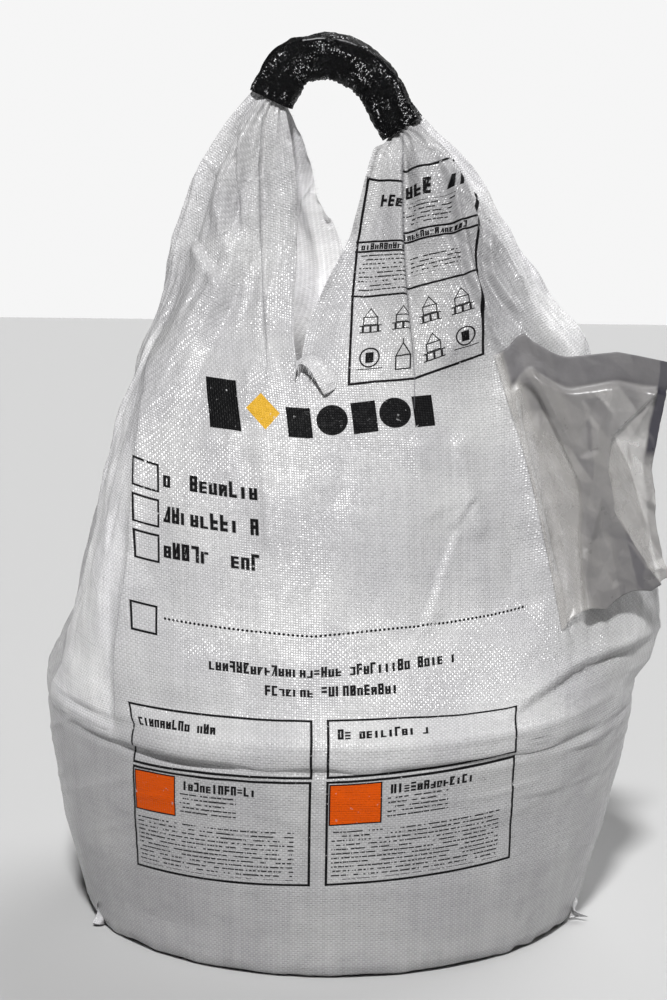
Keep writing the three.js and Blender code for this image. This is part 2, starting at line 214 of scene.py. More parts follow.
def ease(value, low, high):
    """0 below low, 1 above high, and smooth between them."""
    t = np.clip((value - low) / (high - low), 0, 1)
    return t * t * (3 - 2 * t)


def on_rail(rail, heights):
    """Smooth x and y of a rail at an array of heights."""
    knots = np.array(rail)
    z = knots[:, 0]
    low = np.maximum(np.arange(len(z)) - 1, 0)
    high = np.minimum(np.arange(len(z)) + 1, len(z) - 1)
    slopes = (knots[high, 1:] - knots[low, 1:]) / (z[high] - z[low])[:, None]
    k = np.clip(np.searchsorted(z, heights, side="left"), 1, len(z) - 1)
    span = (z[k] - z[k - 1])[:, None]
    t = (heights - z[k - 1])[:, None] / span
    share = t * t * (3 - 2 * t)
    start, end = slopes[k - 1], slopes[k]
    bend = t * (1 - t) * span * (start * (1 - t) - end * t)
    return knots[k - 1, 1:] * (1 - share) + knots[k, 1:] * share + bend


def spline_row(before, points, after, counts):
    """Centripetal spline through points, with a count of steps for each stretch.

    before and after are the points that it would come from and go on to.
    """
    line = np.vstack([before, points, after])
    found = []
    for k, count in enumerate(counts):
        p = line[k:k + 4]
        gaps = np.maximum(np.linalg.norm(np.diff(p, axis=0), axis=1) ** 0.5, 1e-4)
        come, cross, go = np.diff(p, axis=0) / gaps[:, None]
        start = come - (p[2] - p[0]) / (gaps[0] + gaps[1]) + cross
        end = cross - (p[3] - p[1]) / (gaps[1] + gaps[2]) + go
        t = (np.arange(count) / count)[:, None]
        found.append(
            p[1] * (2 * t ** 3 - 3 * t ** 2 + 1) + start * gaps[1] * (t ** 3 - 2 * t ** 2 + t)
            + p[2] * (3 * t ** 2 - 2 * t ** 3) + end * gaps[1] * (t ** 3 - t ** 2)
        )
    found.append(points[-1:])
    return np.vstack(found)


def leaned(z, x):
    """The legs lean, so that their tops stand square to the loop."""
    share = np.clip((z - TILT_FOOT) / (LEG_TOP - TILT_FOOT), 0, None) ** 3
    left, right, drop = -0.070, 0.085, -0.051
    lean = np.where(x < left, 0.478 * (left - x), drop * (x - left) / (right - left))
    lean = np.where(x > right, drop + 0.65 * (x - right), lean)
    return z + share * lean


def top_rows(heights):
    """Rows of the empty top, each from the front centre round to it again."""
    at = {name: on_rail(rail, heights) for name, rail in RAILS.items()}
    rows = []
    for j, z in enumerate(heights):
        def pick(names):
            return np.array([at[name][j] for name in names.split()])

        def past(foot, end, inner, across):
            """The point that a row would go on to: across the slit at its foot, straight on above."""
            share = np.clip((z - foot) / SLIT_OPENS, 0, 1)
            return at[across][j] * (1 - share) + (2 * at[end][j] - at[inner][j]) * share

        before = past(FRONT_SLIT_FOOT, "fre", "fr", "fl")
        after = past(FRONT_SLIT_FOOT, "fle", "fl", "fr")
        if z <= BACK_SLIT_FOOT:
            names = "fre fr r br back bl l fl fle"
            if z <= FRONT_SLIT_FOOT:
                names = "front fr r br back bl l fl front"
            row = spline_row(before, pick(names), after, STEPS)
            row = np.insert(row, HALF, row[HALF], axis=0)
        else:
            after_right = past(BACK_SLIT_FOOT, "bre", "br", "bl")
            before_left = past(BACK_SLIT_FOOT, "ble", "bl", "br")
            right = spline_row(before, pick("fre fr r br bre"), after_right, STEPS[:4])
            left = spline_row(before_left, pick("ble bl l fl fle"), after, STEPS[4:])
            row = np.vstack([right, left])
        rows.append(np.column_stack([row, leaned(z, row[:, 0])]))
    return np.array(rows)


def running_sum(steps):
    """0, and the sum of the steps up to each one."""
    return np.concatenate([[0], np.cumsum(steps)])


def body_rows():
    """Rows of the filled body, from the middle of the base up past the tuck."""
    knots = np.array(BODY_WALL)
    along = running_sum(np.hypot(*np.diff(knots[:, :2], axis=0).T))
    base = np.linspace(0, along[1], EDGE_ROW + 1)[:-1]
    bend = np.linspace(along[1], along[4], BEND_ROWS + 1)[:-1]
    wall = np.linspace(along[4], along[-1], WALL_ROWS)
    spots = np.concatenate([base, bend, wall])
    height, radius, drop = (np.interp(spots, along, knots[:, i]) for i in range(3))
    angle = np.concatenate([(k + np.arange(n) / n) * math.pi / 4 for k, n in enumerate(STEPS)])
    angle = np.concatenate([angle[:HALF], [math.pi], angle[HALF:], [2 * math.pi]])
    x = RIM_SHIFT * height[:, None] / RIM_HEIGHT + radius[:, None] * np.sin(angle)
    y = -radius[:, None] * np.cos(angle)
    z = height[:, None] - drop[:, None] * np.clip(np.cos(angle), 0, None) ** 2
    return np.stack([x, y, z], axis=-1)


# Middle line of the gathered cloth in the sleeve, x and z, from the left leg to the right
LOOP_LINE = np.array([
    (-0.104, 1.392), (-0.096, 1.409), (-0.069, 1.449), (-0.022, 1.463), (0.007, 1.462),
    (0.033, 1.452), (0.062, 1.433), (0.082, 1.406), (0.097, 1.374), (0.1155, 1.345),
])
BUNDLE_HALF = (0.0325, 0.0165)  # half its width in the plane of the loop, and half its depth
BUNDLE_POWER = 3.5              # 2 makes a section an ellipse, and a larger power squares it


def loop_frames(shares):
    """Points of the loop line at shares of its length, and its directions there."""
    ends = 2 * LOOP_LINE[0] - LOOP_LINE[1], 2 * LOOP_LINE[-1] - LOOP_LINE[-2]
    line = spline_row(ends[0], LOOP_LINE, ends[1], [24] * (len(LOOP_LINE) - 1))
    along = running_sum(np.linalg.norm(np.diff(line, axis=0), axis=1))
    spots = [np.interp(shares * along[-1], along, line[:, k]) for k in (0, 1)]
    slopes = np.gradient(line, axis=0)
    slopes = [np.interp(shares * along[-1], along, slopes[:, k]) for k in (0, 1)]
    length = np.hypot(*slopes)
    return spots[0], spots[1], slopes[0] / length, slopes[1] / length


def round_section(angle, half_width, half_depth, power):
    """A rectangle with round corners. Angle 0 is its inner side, a quarter turn its front."""
    c, s = np.cos(angle), np.sin(angle)
    reach = (np.abs(c) ** power + np.abs(s) ** power) ** (-1 / power)
    return -c * reach * half_width, -s * reach * half_depth


def bundle_rows(last_row, count):
    """Rows of the two legs' cloth inside the sleeve, up to where they meet."""
    legs = []
    for columns, steps, ends in (
        (slice(0, HALF + 1), STEPS[:4], (0.02, 0.98)), (slice(HALF + 1, None), STEPS[4:], (0.98, 0.02)),
    ):
        share = np.interp(np.arange(HALF + 1), running_sum(steps), np.linspace(*ends, 5))
        angle = share * 2 * math.pi
        legs.append((columns, angle))
    rows = []
    for k in range(1, count + 1):
        share, mix = 0.5 * k / count, ease(k / MEETING_ROWS, 0, 1)
        moved, gathered = last_row.copy(), last_row.copy()
        for (columns, angle), spot in zip(legs, (1 - share, share)):
            x, z, dx, dz = loop_frames(np.array([spot]))
            x0, z0, _, _ = loop_frames(np.array([round(spot)]))
            outwards, y = round_section(angle, *BUNDLE_HALF, BUNDLE_POWER)
            gathered[columns] = np.column_stack([x - dz * outwards, y, z + dx * outwards])
            moved[columns, 0] += (x - x0)[0]
            moved[columns, 2] += (z - z0)[0]
        rows.append(moved * (1 - mix) + gathered * mix)
    return np.array(rows)


body_part = body_rows()
top_heights = np.linspace(TOP_FOOT, LEG_TOP, TOP_ROWS)
top_part = top_rows(top_heights)
blend = (np.arange(1, 6) / 6)[:, None, None]
bridge = body_part[-1] * (1 - blend) + top_part[0] * blend
inner_part = bundle_rows(top_part[-1], BUNDLE_ROWS)
smooth_bag = np.concatenate([body_part, bridge, top_part, inner_part])
first_top = len(body_part) + len(bridge)

# The cloth bends softly over the feet of the slits
FOOT_REACH, FOOT_WIDTH, FOOT_ROUNDS = 0.08, 0.035, 40
for foot, ends in ((FRONT_SLIT_FOOT, (0, -1)), (BACK_SLIT_FOOT, (HALF, HALF + 1))):
    by_foot = np.flatnonzero(np.abs(top_heights - foot) < FOOT_REACH)
    near = by_foot + first_top
    share = np.exp(-((top_heights[by_foot] - foot) / FOOT_WIDTH) ** 2)[:, None, None]
    for _ in range(FOOT_ROUNDS):
        around = (smooth_bag[near - 1] + 2 * smooth_bag[near] + smooth_bag[near + 1]) / 4
        smooth_bag[near] += (around - smooth_bag[near]) * share
    below = near[top_heights[by_foot] <= foot]
    shared = (smooth_bag[below, ends[0]] + smooth_bag[below, ends[1]]) / 2
    smooth_bag[below, ends[0]] = smooth_bag[below, ends[1]] = shared
ROWS, COLUMNS = smooth_bag.shape[:2]
TUCK_ROW = int(np.argmin(np.abs(body_part[:, COLUMNS // 4, 2] - TUCK_HEIGHT)))
BODY_END = TUCK_ROW + 5         # the filled body goes on a little under the empty top
column = np.arange(COLUMNS)
turn = np.where(column > HALF, column - 1, column) / (COLUMNS - 2)  # 0 to 1 round the bag


def cloth_metres(grid):
    """Metres along the cloth: round from the front centre, and up from the bottom edge."""
    step = np.linalg.norm(np.diff(grid, axis=1), axis=2)
    round_right = np.concatenate([np.zeros((len(grid), 1)), np.cumsum(step, axis=1)], axis=1)
    round_left = round_right - round_right[:, -1:]
    across = np.where(column <= HALF, round_right, round_left)
    rise = np.linalg.norm(np.diff(grid, axis=0), axis=2)
    up = np.concatenate([np.zeros((1, COLUMNS)), np.cumsum(rise, axis=0)])
    return across, up - up[EDGE_ROW]


def normals_of(grid):
    """Unit normals of a grid of points."""
    normal = np.cross(np.gradient(grid, axis=1), np.gradient(grid, axis=0))
    return normal / np.maximum(np.linalg.norm(normal, axis=2, keepdims=True), 1e-12)


def bag_normals(grid):
    """Outward normals of the bag, equal where two columns meet."""
    normal = normals_of(grid)
    normal[0] = (0, 0, -1)
    for a, b in ((0, -1), (HALF, HALF + 1)):
        met = np.linalg.norm(grid[:, a] - grid[:, b], axis=1) < 1e-6
        shared = normal[:, a] + normal[:, b]
        shared /= np.maximum(np.linalg.norm(shared, axis=1, keepdims=True), 1e-12)
        normal[met, a] = shared[met]
        normal[met, b] = shared[met]
    return normal


def soft_noise(x, y, z, seed):
    """Smooth random values from -1 to 1 that change over about one unit."""
    table = np.random.default_rng(seed).uniform(-1, 1, (64, 64, 64))
    points = np.stack(np.broadcast_arrays(x, y, z), axis=-1)
    cell = np.floor(points).astype(int)
    t = points - cell
    t = t * t * t * (t * (6 * t - 15) + 10)
    total = 0
    for corner in itertools.product((0, 1), repeat=3):
        weight = np.prod(np.where(corner, t, 1 - t), axis=-1)
        i, j, k = np.moveaxis((cell + corner) % 64, -1, 0)
        total = total + weight * table[i, j, k]
    return total


def round_again(values):
    """Makes the last column equal to the first one, where the cloth meets itself."""
    values[:, -1] = values[:, 0]
    return values


def facet_field(rows, columns, points, value):
    """Values on a grid of rows and columns that are flat in each triangle between the points."""
    corners, _, faces, origin, _, _ = delaunay_2d_cdt(
        [Vector(point) for point in points.tolist()], [], [], 0, 1e-6
    )
    corners = np.array([c[:] for c in corners])
    value = np.array([value[o[0]] for o in origin])
    result = np.zeros((rows, columns))
    for face in faces:
        (x0, y0), (x1, y1), (x2, y2) = corners[face]
        area = (x1 - x0) * (y2 - y0) - (x2 - x0) * (y1 - y0)
        c0, c1 = max(0, math.ceil(min(x0, x1, x2))), min(columns - 1, math.floor(max(x0, x1, x2)))
        r0, r1 = max(0, math.ceil(min(y0, y1, y2))), min(rows - 1, math.floor(max(y0, y1, y2)))
        if abs(area) < 1e-9 or c1 < c0 or r1 < r0:
            continue
        gx, gy = np.meshgrid(np.arange(c0, c1 + 1), np.arange(r0, r1 + 1))
        b = ((gx - x0) * (y2 - y0) - (x2 - x0) * (gy - y0)) / area
        c = ((x1 - x0) * (gy - y0) - (gx - x0) * (y1 - y0)) / area
        inside = (b >= -1e-9) & (c >= -1e-9) & (b + c <= 1 + 1e-9)
        v = value[list(face)]
        patch = result[r0:r1 + 1, c0:c1 + 1]
        patch[inside] = (v[0] * (1 - b - c) + v[1] * b + v[2] * c)[inside]
    return result


ROW_RISE = 0.0053               # metres of cloth between two rows, on the average


def facets(wide, tall, seed, smoothing):
    """Heights from -1 to 1 of cloth crumpled into flat facets, about wide by tall metres each."""
    random = np.random.default_rng(seed)
    across, up = round(TUBE_ROUND / wide), round(ROW_RISE * ROWS / tall)
    i, j = np.meshgrid(np.arange(across), np.arange(-1, up + 2), indexing="ij")
    x = (i + 0.5 * (j % 2) + random.uniform(-0.38, 0.38, i.shape)) / across
    y = (j + random.uniform(-0.38, 0.38, i.shape)) / up
    value = random.uniform(-1, 1, i.shape)
    points = np.column_stack([x.ravel(), y.ravel()])
    around = np.vstack([points - (1, 0), points, points + (1, 0)])
    value = np.tile(value.ravel(), 3)
    keep = (around[:, 0] > -0.3) & (around[:, 0] < 1.3)
    around, value = around[keep], value[keep]
    result = facet_field(ROWS, COLUMNS - 1, around * (COLUMNS - 2, ROWS - 1), value)
    ring = result[:, :-1]
    for _ in range(smoothing):
        ring = (np.roll(ring, 1, axis=1) + 2 * ring + np.roll(ring, -1, axis=1)) / 4
        ring[1:-1] = (ring[:-2] + 2 * ring[1:-1] + ring[2:]) / 4
    closed = np.column_stack([ring, ring[:, :1]])
    return np.insert(closed, HALF, closed[:, HALF], axis=1)


CREASE_ROUNDING = 0.0035


def crease(grid, line, before, after, width, fade=0.15):
    """Height of a fold along a line of (x, z) points seen from the front.

    before and after are its heights on the left and right side of the line, in
    the order of its points, and each side dies away over the width.
    """
    x, z = grid[..., 0], grid[..., 2]
    line = np.array(line)
    lengths = np.linalg.norm(np.diff(line, axis=0), axis=1)
    starts = running_sum(lengths)
    nearest = np.full(x.shape, np.inf)
    side = np.zeros(x.shape)
    share = np.zeros(x.shape)
    for k, length in enumerate(lengths):
        ax, az = line[k]
        dx, dz = (line[k + 1] - line[k]) / length
        along = np.clip((x - ax) * dx + (z - az) * dz, 0, length)
        off_x, off_z = x - ax - along * dx, z - az - along * dz
        distance = np.hypot(off_x, off_z)
        closer = distance < nearest
        nearest = np.where(closer, distance, nearest)
        side = np.where(closer, dx * off_z - dz * off_x, side)
        share = np.where(closer, (starts[k] + along) / starts[-1], share)
    taper = ease(share, 0, fade) * ease(1 - share, 0, fade)
    rounded = np.hypot(nearest, CREASE_ROUNDING) - CREASE_ROUNDING
    share_before = 0.5 + 0.5 * np.tanh(side / CREASE_ROUNDING)
    height = (before * share_before + after * (1 - share_before)) * np.exp(-rounded / width)
    return height * taper * (grid[..., 1] < 0.02)


across, up = cloth_metres(smooth_bag)
outward = bag_normals(smooth_bag)
side_x, _, height = np.moveaxis(smooth_bag, -1, 0)
above_tuck = up - up[TUCK_ROW]
front = ease(-outward[..., 1], -0.1, 0.5)
right = ease(side_x, 0.20, 0.40)
left = ease(-side_x, 0.20, 0.40)

# Slack cloth of the top: large facets, smaller ones, and soft swells along the pull
upper = ease(above_tuck, 0.02, 0.22)
calm = 1 - 0.62 * front * ease(1.02 - height, 0, 0.08) * (1 - right)
swell = round_again(soft_noise(turn * 14, up * 2.2, 0, 3))
CRUMPLES = [
    # size of the facets across and up, seed, smoothing, height, and how strong they are over the cloth
    (0.22, 0.30, 11, 2, 0.0125, calm),
    (0.10, 0.17, 12, 1, 0.0095, 0.36 + 0.64 * calm),
    (0.045, 0.07, 13, 1, 0.0030, 0.7 + 0.3 * calm),
    (0.050, 0.038, 15, 0, 0.0034, 1 - front),
    (0.024, 0.034, 14, 0, 0.0010, 0.4 + 0.6 * calm),
]
top_height = sum(size * facets(*form) * strength for *form, size, strength in CRUMPLES)
top_height = upper * (top_height + 0.0040 * swell * calm)
top_height *= 1 - 0.55 * ease(height, 1.25, 1.36)

# Folds that can be told apart on the front, as points of (x, z) from the bottom to the top
LEFT_CREASE = [
    (-0.325, 0.435), (-0.322, 0.53), (-0.312, 0.62), (-0.309, 0.70), (-0.304, 0.833), (-0.293, 0.938),
    (-0.282, 1.057),
]
FRONT_FOLDS = [
    (LEFT_CREASE, 0.0055, 0.0055, 0.022),
    ([(0.425, 0.470), (0.394, 0.565), (0.357, 0.70), (0.307, 0.917), (0.295, 0.976), (0.266, 1.025),
      (0.229, 1.147), (0.199, 1.232), (0.163, 1.331)], 0.010, 0.004, 0.024),
    ([(-0.094, 0.973), (-0.105, 1.070), (-0.115, 1.182), (-0.120, 1.288), (-0.114, 1.372)],
     0.0015, -0.0035, 0.014),
    ([(0.148, 0.950), (0.132, 1.088), (0.124, 1.178), (0.118, 1.331)], 0.0040, -0.0030, 0.018),
    ([(-0.155, 1.068), (-0.195, 1.115), (-0.240, 1.166)], 0.005, -0.002, 0.020),
    ([(-0.170, 1.133), (-0.193, 1.227), (-0.178, 1.30)], 0.004, 0.004, 0.014),
    ([(-0.150, 1.181), (-0.159, 1.261), (-0.155, 1.35)], -0.003, 0.003, 0.014),
    ([(0.140, 0.530), (0.179, 0.587), (0.202, 0.660), (0.222, 0.722), (0.236, 0.765)],
     -0.0014, 0.0018, 0.011),
    ([(0.216, 0.712), (0.233, 0.745), (0.247, 0.765)], 0.003, -0.002, 0.010),
    ([(0.262, 0.690), (0.245, 0.760), (0.229, 0.810), (0.217, 0.870)], 0.0035, 0.0030, 0.013),
    ([(0.195, 0.730), (0.162, 0.800), (0.145, 0.865)], 0.0022, 0.0022, 0.014),
    ([(-0.077, 0.69), (-0.080, 0.767), (-0.093, 0.831), (-0.107, 0.883)], 0.003, 0.003, 0.011),
    ([(-0.147, 0.800), (-0.145, 0.88)], 0.0022, 0.0022, 0.010),
    ([(-0.123, 0.886), (-0.118, 0.975)], 0.003, 0.003, 0.012),
    ([(0.413, 0.523), (0.392, 0.590), (0.372, 0.700)], -0.003, 0.003, 0.012),
    ([(0.321, 0.879), (0.260, 0.935), (0.188, 1.027)], 0.003, 0.003, 0.016),
    ([(0.334, 1.066), (0.282, 1.148), (0.232, 1.207), (0.193, 1.280), (0.163, 1.34)],
     0.006, 0.002, 0.016),
    ([(0.318, 1.020), (0.262, 1.110), (0.249, 1.182), (0.22, 1.25)], -0.004, 0.004, 0.015),
    ([(0.300, 0.950), (0.270, 1.010), (0.225, 1.110), (0.205, 1.200), (0.170, 1.300)],
     -0.003, 0.004, 0.012),
]
FRONT_FOLD_STRENGTH = 2.3
for line, before, after, width in FRONT_FOLDS:
    top_height += FRONT_FOLD_STRENGTH * crease(smooth_bag, line, before, after, width)

# Creases that shut the roll off: over it at the left, and up the bulge at the right
ROLL_ENDS = [
    ([(-0.480, 0.416), (-0.431, 0.419), (-0.375, 0.417), (-0.311, 0.418), (-0.240, 0.424)],
     -0.001, -0.007, 0.014, 0.3),
    ([(0.300, 0.425), (0.334, 0.443), (0.378, 0.462), (0.420, 0.480), (0.459, 0.487), (0.510, 0.492),
      (0.560, 0.493)], 0.010, -0.008, 0.034, 0.25),
]
for line, before, after, width, fade in ROLL_ENDS:
    top_height += crease(smooth_bag, line, before, after, width, fade)

# Gathers that grow towards the sleeve, and deep folds down the sides and the back
leg_share = np.where(column <= HALF, column / HALF, (column - HALF - 1) / HALF)
gather = ease(height, 1.16, 1.36)
waver = soft_noise(turn * 9, up * 5, 5, 6)
phase = leg_share * 11 + 0.35 * waver
pleat = 1 - 2 * np.abs(2 * (phase - np.floor(phase)) - 1) ** 0.8
top_height += 0.0026 * gather * pleat * (0.6 + 0.8 * waver)

# place round the bag in 48ths, and depth, as in the solids
DEEP_FOLDS = [
    (13, 0.038), (15, 0.048), (17, 0.042), (19, 0.052), (21, 0.044), (23, 0.040),
    (25, 0.042), (27, 0.050), (29, 0.044), (31, 0.050), (33, 0.044), (35, 0.036),
]
stretch_ends = running_sum(STEPS)
place_round = np.interp(np.where(column > HALF, column - 1, column), stretch_ends, np.arange(9) * 6)
fold_grown = ease(height, 0.50, 0.80) * (1 - 0.6 * ease(height, 0.95, 1.20))
fold_grown = fold_grown * (1 - ease(height, 1.28, LEG_TOP))
for place, depth in DEEP_FOLDS:
    middle = place + 0.16 * np.sin(up * 7 + place * 4) * ease(height, 0.6, 0.8)
    off = np.abs(place_round - middle)
    reach = np.clip(1 - off, 0, 1)
    bottom = reach ** 1.25 - 0.10 * np.sin(off * math.pi) ** 2 * (off < 1)
    top_height -= depth * fold_grown * bottom
    lip = np.clip(1 - np.abs(off - 1) / 0.45, 0, 1)
    top_height += 0.05 * depth * fold_grown * lip
# long uneven folds between them, and soft bulges over the shoulder of the body
sides = 1 - front
drift = turn * 36 + 0.8 * soft_noise(turn * 8, up * 3, 4, 51)
long_folds = 1 - 2 * np.abs(soft_noise(drift, up * 1.6, 0, 52)) ** 0.7
top_height += (
    0.0085 * long_folds * sides * ease(height, 0.50, 0.75) * (1 - 0.5 * ease(height, 1.1, 1.3))
)
shoulder = np.exp(-((height - 0.475) / 0.05) ** 2) * sides
bulges = soft_noise(turn * 15, up * 7, 0, 53)
bulges = round_again(bulges + 0.5 * (1 - 2 * np.abs(soft_noise(turn * 34, up * 14, 0, 54))))
top_height += shoulder * (0.012 * bulges + 0.009)
hidden = np.clip(np.arange(ROWS) - (ROWS - BUNDLE_ROWS), 0, None)[:, None]  # rows into the sleeve
top_height *= 1 - ease(hidden, 0, 9)

# The cut edges of the slits wave in and out
from_front_cut = np.minimum(column, COLUMNS - 1 - column) * 0.75
from_cut = np.minimum(from_front_cut, np.abs(column - HALF - 0.5) * 3)
behind = (turn > 0.25) & (turn < 0.75)
slit_foot = np.where(behind, BACK_SLIT_FOOT, FRONT_SLIT_FOOT)
by_cut = np.exp(-from_cut / 5) * ease(height, slit_foot - 0.01, slit_foot + 0.05)
edge_wave = soft_noise(turn * 6, up * 22, 0, 21) + 0.6 * soft_noise(turn * 6, up * 55, 0, 22)
top_height += np.where(behind, 0.014, 0.008) * by_cut * edge_wave * ease(LEG_TOP - height, 0, 0.05)

# The slack rolls over the tuck: distance above it, outwards, upwards
ROLL = np.array([
    (-0.030, 0.000, 0.000), (0.000, -0.002, 0.004), (0.006, 0.003, -0.003), (0.013, 0.006, -0.004),
    (0.022, 0.007, -0.002), (0.040, 0.005, 0.000), (0.070, 0.000, 0.000),
])
roll_share = (1 - 0.93 * ease(side_x, 0.26, 0.36) * front) * (1 - 0.6 * (1 - front))
roll_share = roll_share * (1 - 0.80 * left) * (1 - 0.62 * front * ease(side_x, -0.25, 0.0))
roll_waver = round_again(soft_noise(turn * 26, 0 * up, 0, 31))
roll_share = roll_share * (1 + 0.65 * roll_waver)
roll_out = np.interp(above_tuck, ROLL[:, 0], ROLL[:, 1]) * roll_share
roll_rise = np.interp(above_tuck, ROLL[:, 0], ROLL[:, 2]) * roll_share
ripple = soft_noise(turn * 22, up * 60, 0, 33)
top_height += 0.0022 * ripple * np.exp(-((above_tuck - 0.035) / 0.025) ** 2) * front
# soft level waves where the slack sags over the powder
sag = soft_noise(turn * 13 + 0.6 * np.sin(up * 9), up * 17, 0, 34)
top_height += 0.0050 * sag * np.exp(-((above_tuck - 0.10) / 0.06) ** 2) * front

top_cloth = smooth_bag + outward * (top_height + roll_out)[..., None]
top_cloth[..., 2] += roll_rise + 0.004 * roll_waver * np.exp(-above_tuck / 0.03)
top_cloth = top_cloth[TUCK_ROW:]

# The filled body: level wrinkles under the roll, ruffles at the sewn bottom edge
wall = ease(up, 0.03, 0.10) * ease(up[TUCK_ROW] + 0.02 - up, 0, 0.02)
level = soft_noise(turn * 9, up * 34 + 2.2 * np.sin(turn * 2 * math.pi * 2), 0, 41)
level = round_again(1 - 2 * np.abs(level) ** 0.7)
body_height = wall * (
    0.0016 * level * ease(up, 0.12, 0.36) * (0.6 + 0.8 * np.maximum(right, left))
    + 0.0035 * facets(0.35, 0.16, 44, 5)
    + 0.0045 * facets(0.17, 0.11, 46, 2) * sides
    + 0.0008 * facets(0.06, 0.05, 45, 1) * ease(up, 0.15, 0.38)
)
for line, size in (
    ([(0.364, 0.402), (0.444, 0.408), (0.505, 0.404)], 0.004),
    ([(0.333, 0.349), (0.412, 0.357), (0.500, 0.362)], 0.003),
    ([(0.302, 0.303), (0.397, 0.292), (0.490, 0.289)], 0.002),
):
    body_height += crease(smooth_bag, line, size, -size, 0.008, 0.3)
hem = np.exp(-(up / 0.028) ** 2) * (up > -0.01)
ruffle = round_again(soft_noise(turn * 60, up * 12, 0, 47))
body_height += 0.0035 * hem * ruffle * (0.5 + right + left)
tucked = np.exp(-(np.clip(up[TUCK_ROW] - up, 0, None) / 0.010) ** 2)
body_height -= 0.0030 * tucked * roll_share
body_height = np.maximum(body_height, -0.0022 - 0.003 * tucked)
body_cloth = smooth_bag + outward * (body_height * (up > -0.001))[..., None]
body_cloth[..., 2] = np.maximum(body_cloth[..., 2], 0)
body_cloth = body_cloth[:BODY_END]


def quads_of(index):
    """Four corners for each cell of a grid of numbers."""
    return np.stack([index[:-1, :-1], index[:-1, 1:], index[1:, 1:], index[1:, :-1]], axis=-1)


def cloth_mesh(name, grids, faces, maps):
    """A smooth mesh over grids of one size, with pairs of numbers for each of them on UV maps."""
    mesh = bpy.data.meshes.new(name)
    mesh.from_pydata(np.concatenate(grids).reshape(-1, 3).tolist(), [], faces.tolist())
    for map_name, pair in maps.items():
        values = np.column_stack([np.broadcast_to(part, grids[0].shape[:2]).ravel() for part in pair])
        layer = mesh.uv_layers.new(name=map_name)
        layer.data.foreach_set("uv", np.vstack([values] * len(grids))[faces.ravel()].ravel())
    mesh.polygons.foreach_set("use_smooth", [True] * len(mesh.polygons))
    return mesh


def ring_object(name, grid, maps, seam=None, closed=(False, False)):
    """One quad for each cell of a grid.

    closed says whether rows and columns run round, and seam is a column without quads.
    """
    rows, columns = grid.shape[:2]
    index = np.arange(rows * columns).reshape(rows, columns)
    if closed[0]:
        index = np.vstack([index, index[:1]])
    if closed[1]:
        index = np.column_stack([index, index[:, :1]])
    quads = quads_of(index)
    if seam is not None:
        quads = np.delete(quads, seam, axis=1)
    mesh = cloth_mesh(name, [grid], quads.reshape(-1, 4), maps)
    joined = bmesh.new()
    joined.from_mesh(mesh)
    bmesh.ops.remove_doubles(joined, verts=joined.verts, dist=1e-5)
    if all(closed):
        bmesh.ops.recalc_face_normals(joined, faces=joined.faces)
    joined.to_mesh(mesh)
    joined.free()
    return linked(name, mesh)


def along_line(line, z):
    """x of a line of (x, z) points at heights z."""
    line = np.array(line)
    order = np.argsort(line[:, 1])
    return np.interp(z, line[order, 1], line[order, 0])


# Where the print lies: metres of cloth, made straight and level over the front
AWAY = 9.0                      # a place that no print reaches
quarter_back = (turn > 0.30) & (turn < 0.70)
print_skew = np.where(
    across > 0, across * (0.06 + 0.10 * ease(up, 0.5, 0.6)), 0.03 * across * (1 - ease(up, 0.5, 0.6))
)
on_front = np.where(quarter_back, np.where(turn < 0.5, AWAY, -AWAY), 0.0)
print_map = (across + on_front, up - print_skew)
LABEL_EDGE = [(0.062, 1.266), (0.053, 1.212), (0.045, 1.167), (0.041, 1.080), (0.042, 0.944)]
RIGHT_PLEAT = [(0.148, 0.950), (0.132, 1.088), (0.124, 1.178), (0.117, 1.331)]
LEFT_PLEAT = [(-0.093, 0.974), (-0.106, 1.072), (-0.117, 1.183), (-0.122, 1.288), (-0.116, 1.375)]
on_right_leg = np.where((turn < 0.30) & (height > 0.90), 0.0, AWAY)
from_edge, from_pleat, from_left_pleat, from_crease = (
    side_x - along_line(line, height) for line in (LABEL_EDGE, RIGHT_PLEAT, LEFT_PLEAT, LEFT_CREASE)
)
LABEL_TALL = 0.37


def label_height(low, high):
    return LABEL_TALL * (height - low) / (high - low)


leg_left_map = (
    from_edge * 1.04 + on_right_leg,
    label_height(0.944 + 0.006 * from_edge / 0.106, 1.266 - 0.004 * from_edge / 0.061),
)
leg_right_map = (
    0.109 + from_pleat * 1.08 + on_right_leg,
    label_height(0.950 + 0.035 * from_pleat / 0.111, 1.280 + 0.007 * from_pleat / 0.05),
)
on_left_leg = np.where((turn > 0.70) & (height > 0.95), 0.0, AWAY)
marks_map = (from_pleat + on_right_leg, from_left_pleat + on_left_leg)
on_left_front = np.where((turn > 0.70) & (height > 0.42) & (height < 1.08), 0.0, AWAY)
# how light the cloth is painted: painted light outside the left crease and on the back above 0.7 m, and
# greyer where powder is behind it
painted_light_outside_crease = ease(-from_crease, 0, 0.012) * (turn > 0.70) * (height < 1.05)
painted_light_and_powder_grey = 1 + 0.55 * painted_light_outside_crease * ease(above_tuck, 0.0, 0.04)
painted_light_and_powder_grey += 0.32 * ease(0.22 - np.abs(turn - 0.5), 0, 0.05) * ease(height, 0.7, 1.0)
painted_light_and_powder_grey -= 0.13 * ease(-above_tuck, -0.01, 0.01)
# painted shade: darker over the right leg and at the foot of the bulge on the right, under the pouch
by_right = ease(0.31 - turn, 0, 0.05)
painted_light_and_powder_grey -= 0.21 * ease(side_x, 0.04, 0.17) * ease(height, 0.90, 1.00) * by_right
painted_shade_bulge_foot = ease(side_x, 0.34, 0.46) * (1 - ease(height, 0.55, 0.66))
painted_light_and_powder_grey -= 0.22 * painted_shade_bulge_foot * ease(above_tuck, 0, 0.03) * by_right
cloth_maps = {
    "cloth": (across, up), "print": print_map, "leg_left": leg_left_map, "leg_right": leg_right_map,
    "marks": marks_map, "folds": (from_crease + on_left_front, painted_light_and_powder_grey),
}
body_maps = {name: tuple(part[:BODY_END] for part in pair) for name, pair in cloth_maps.items()}
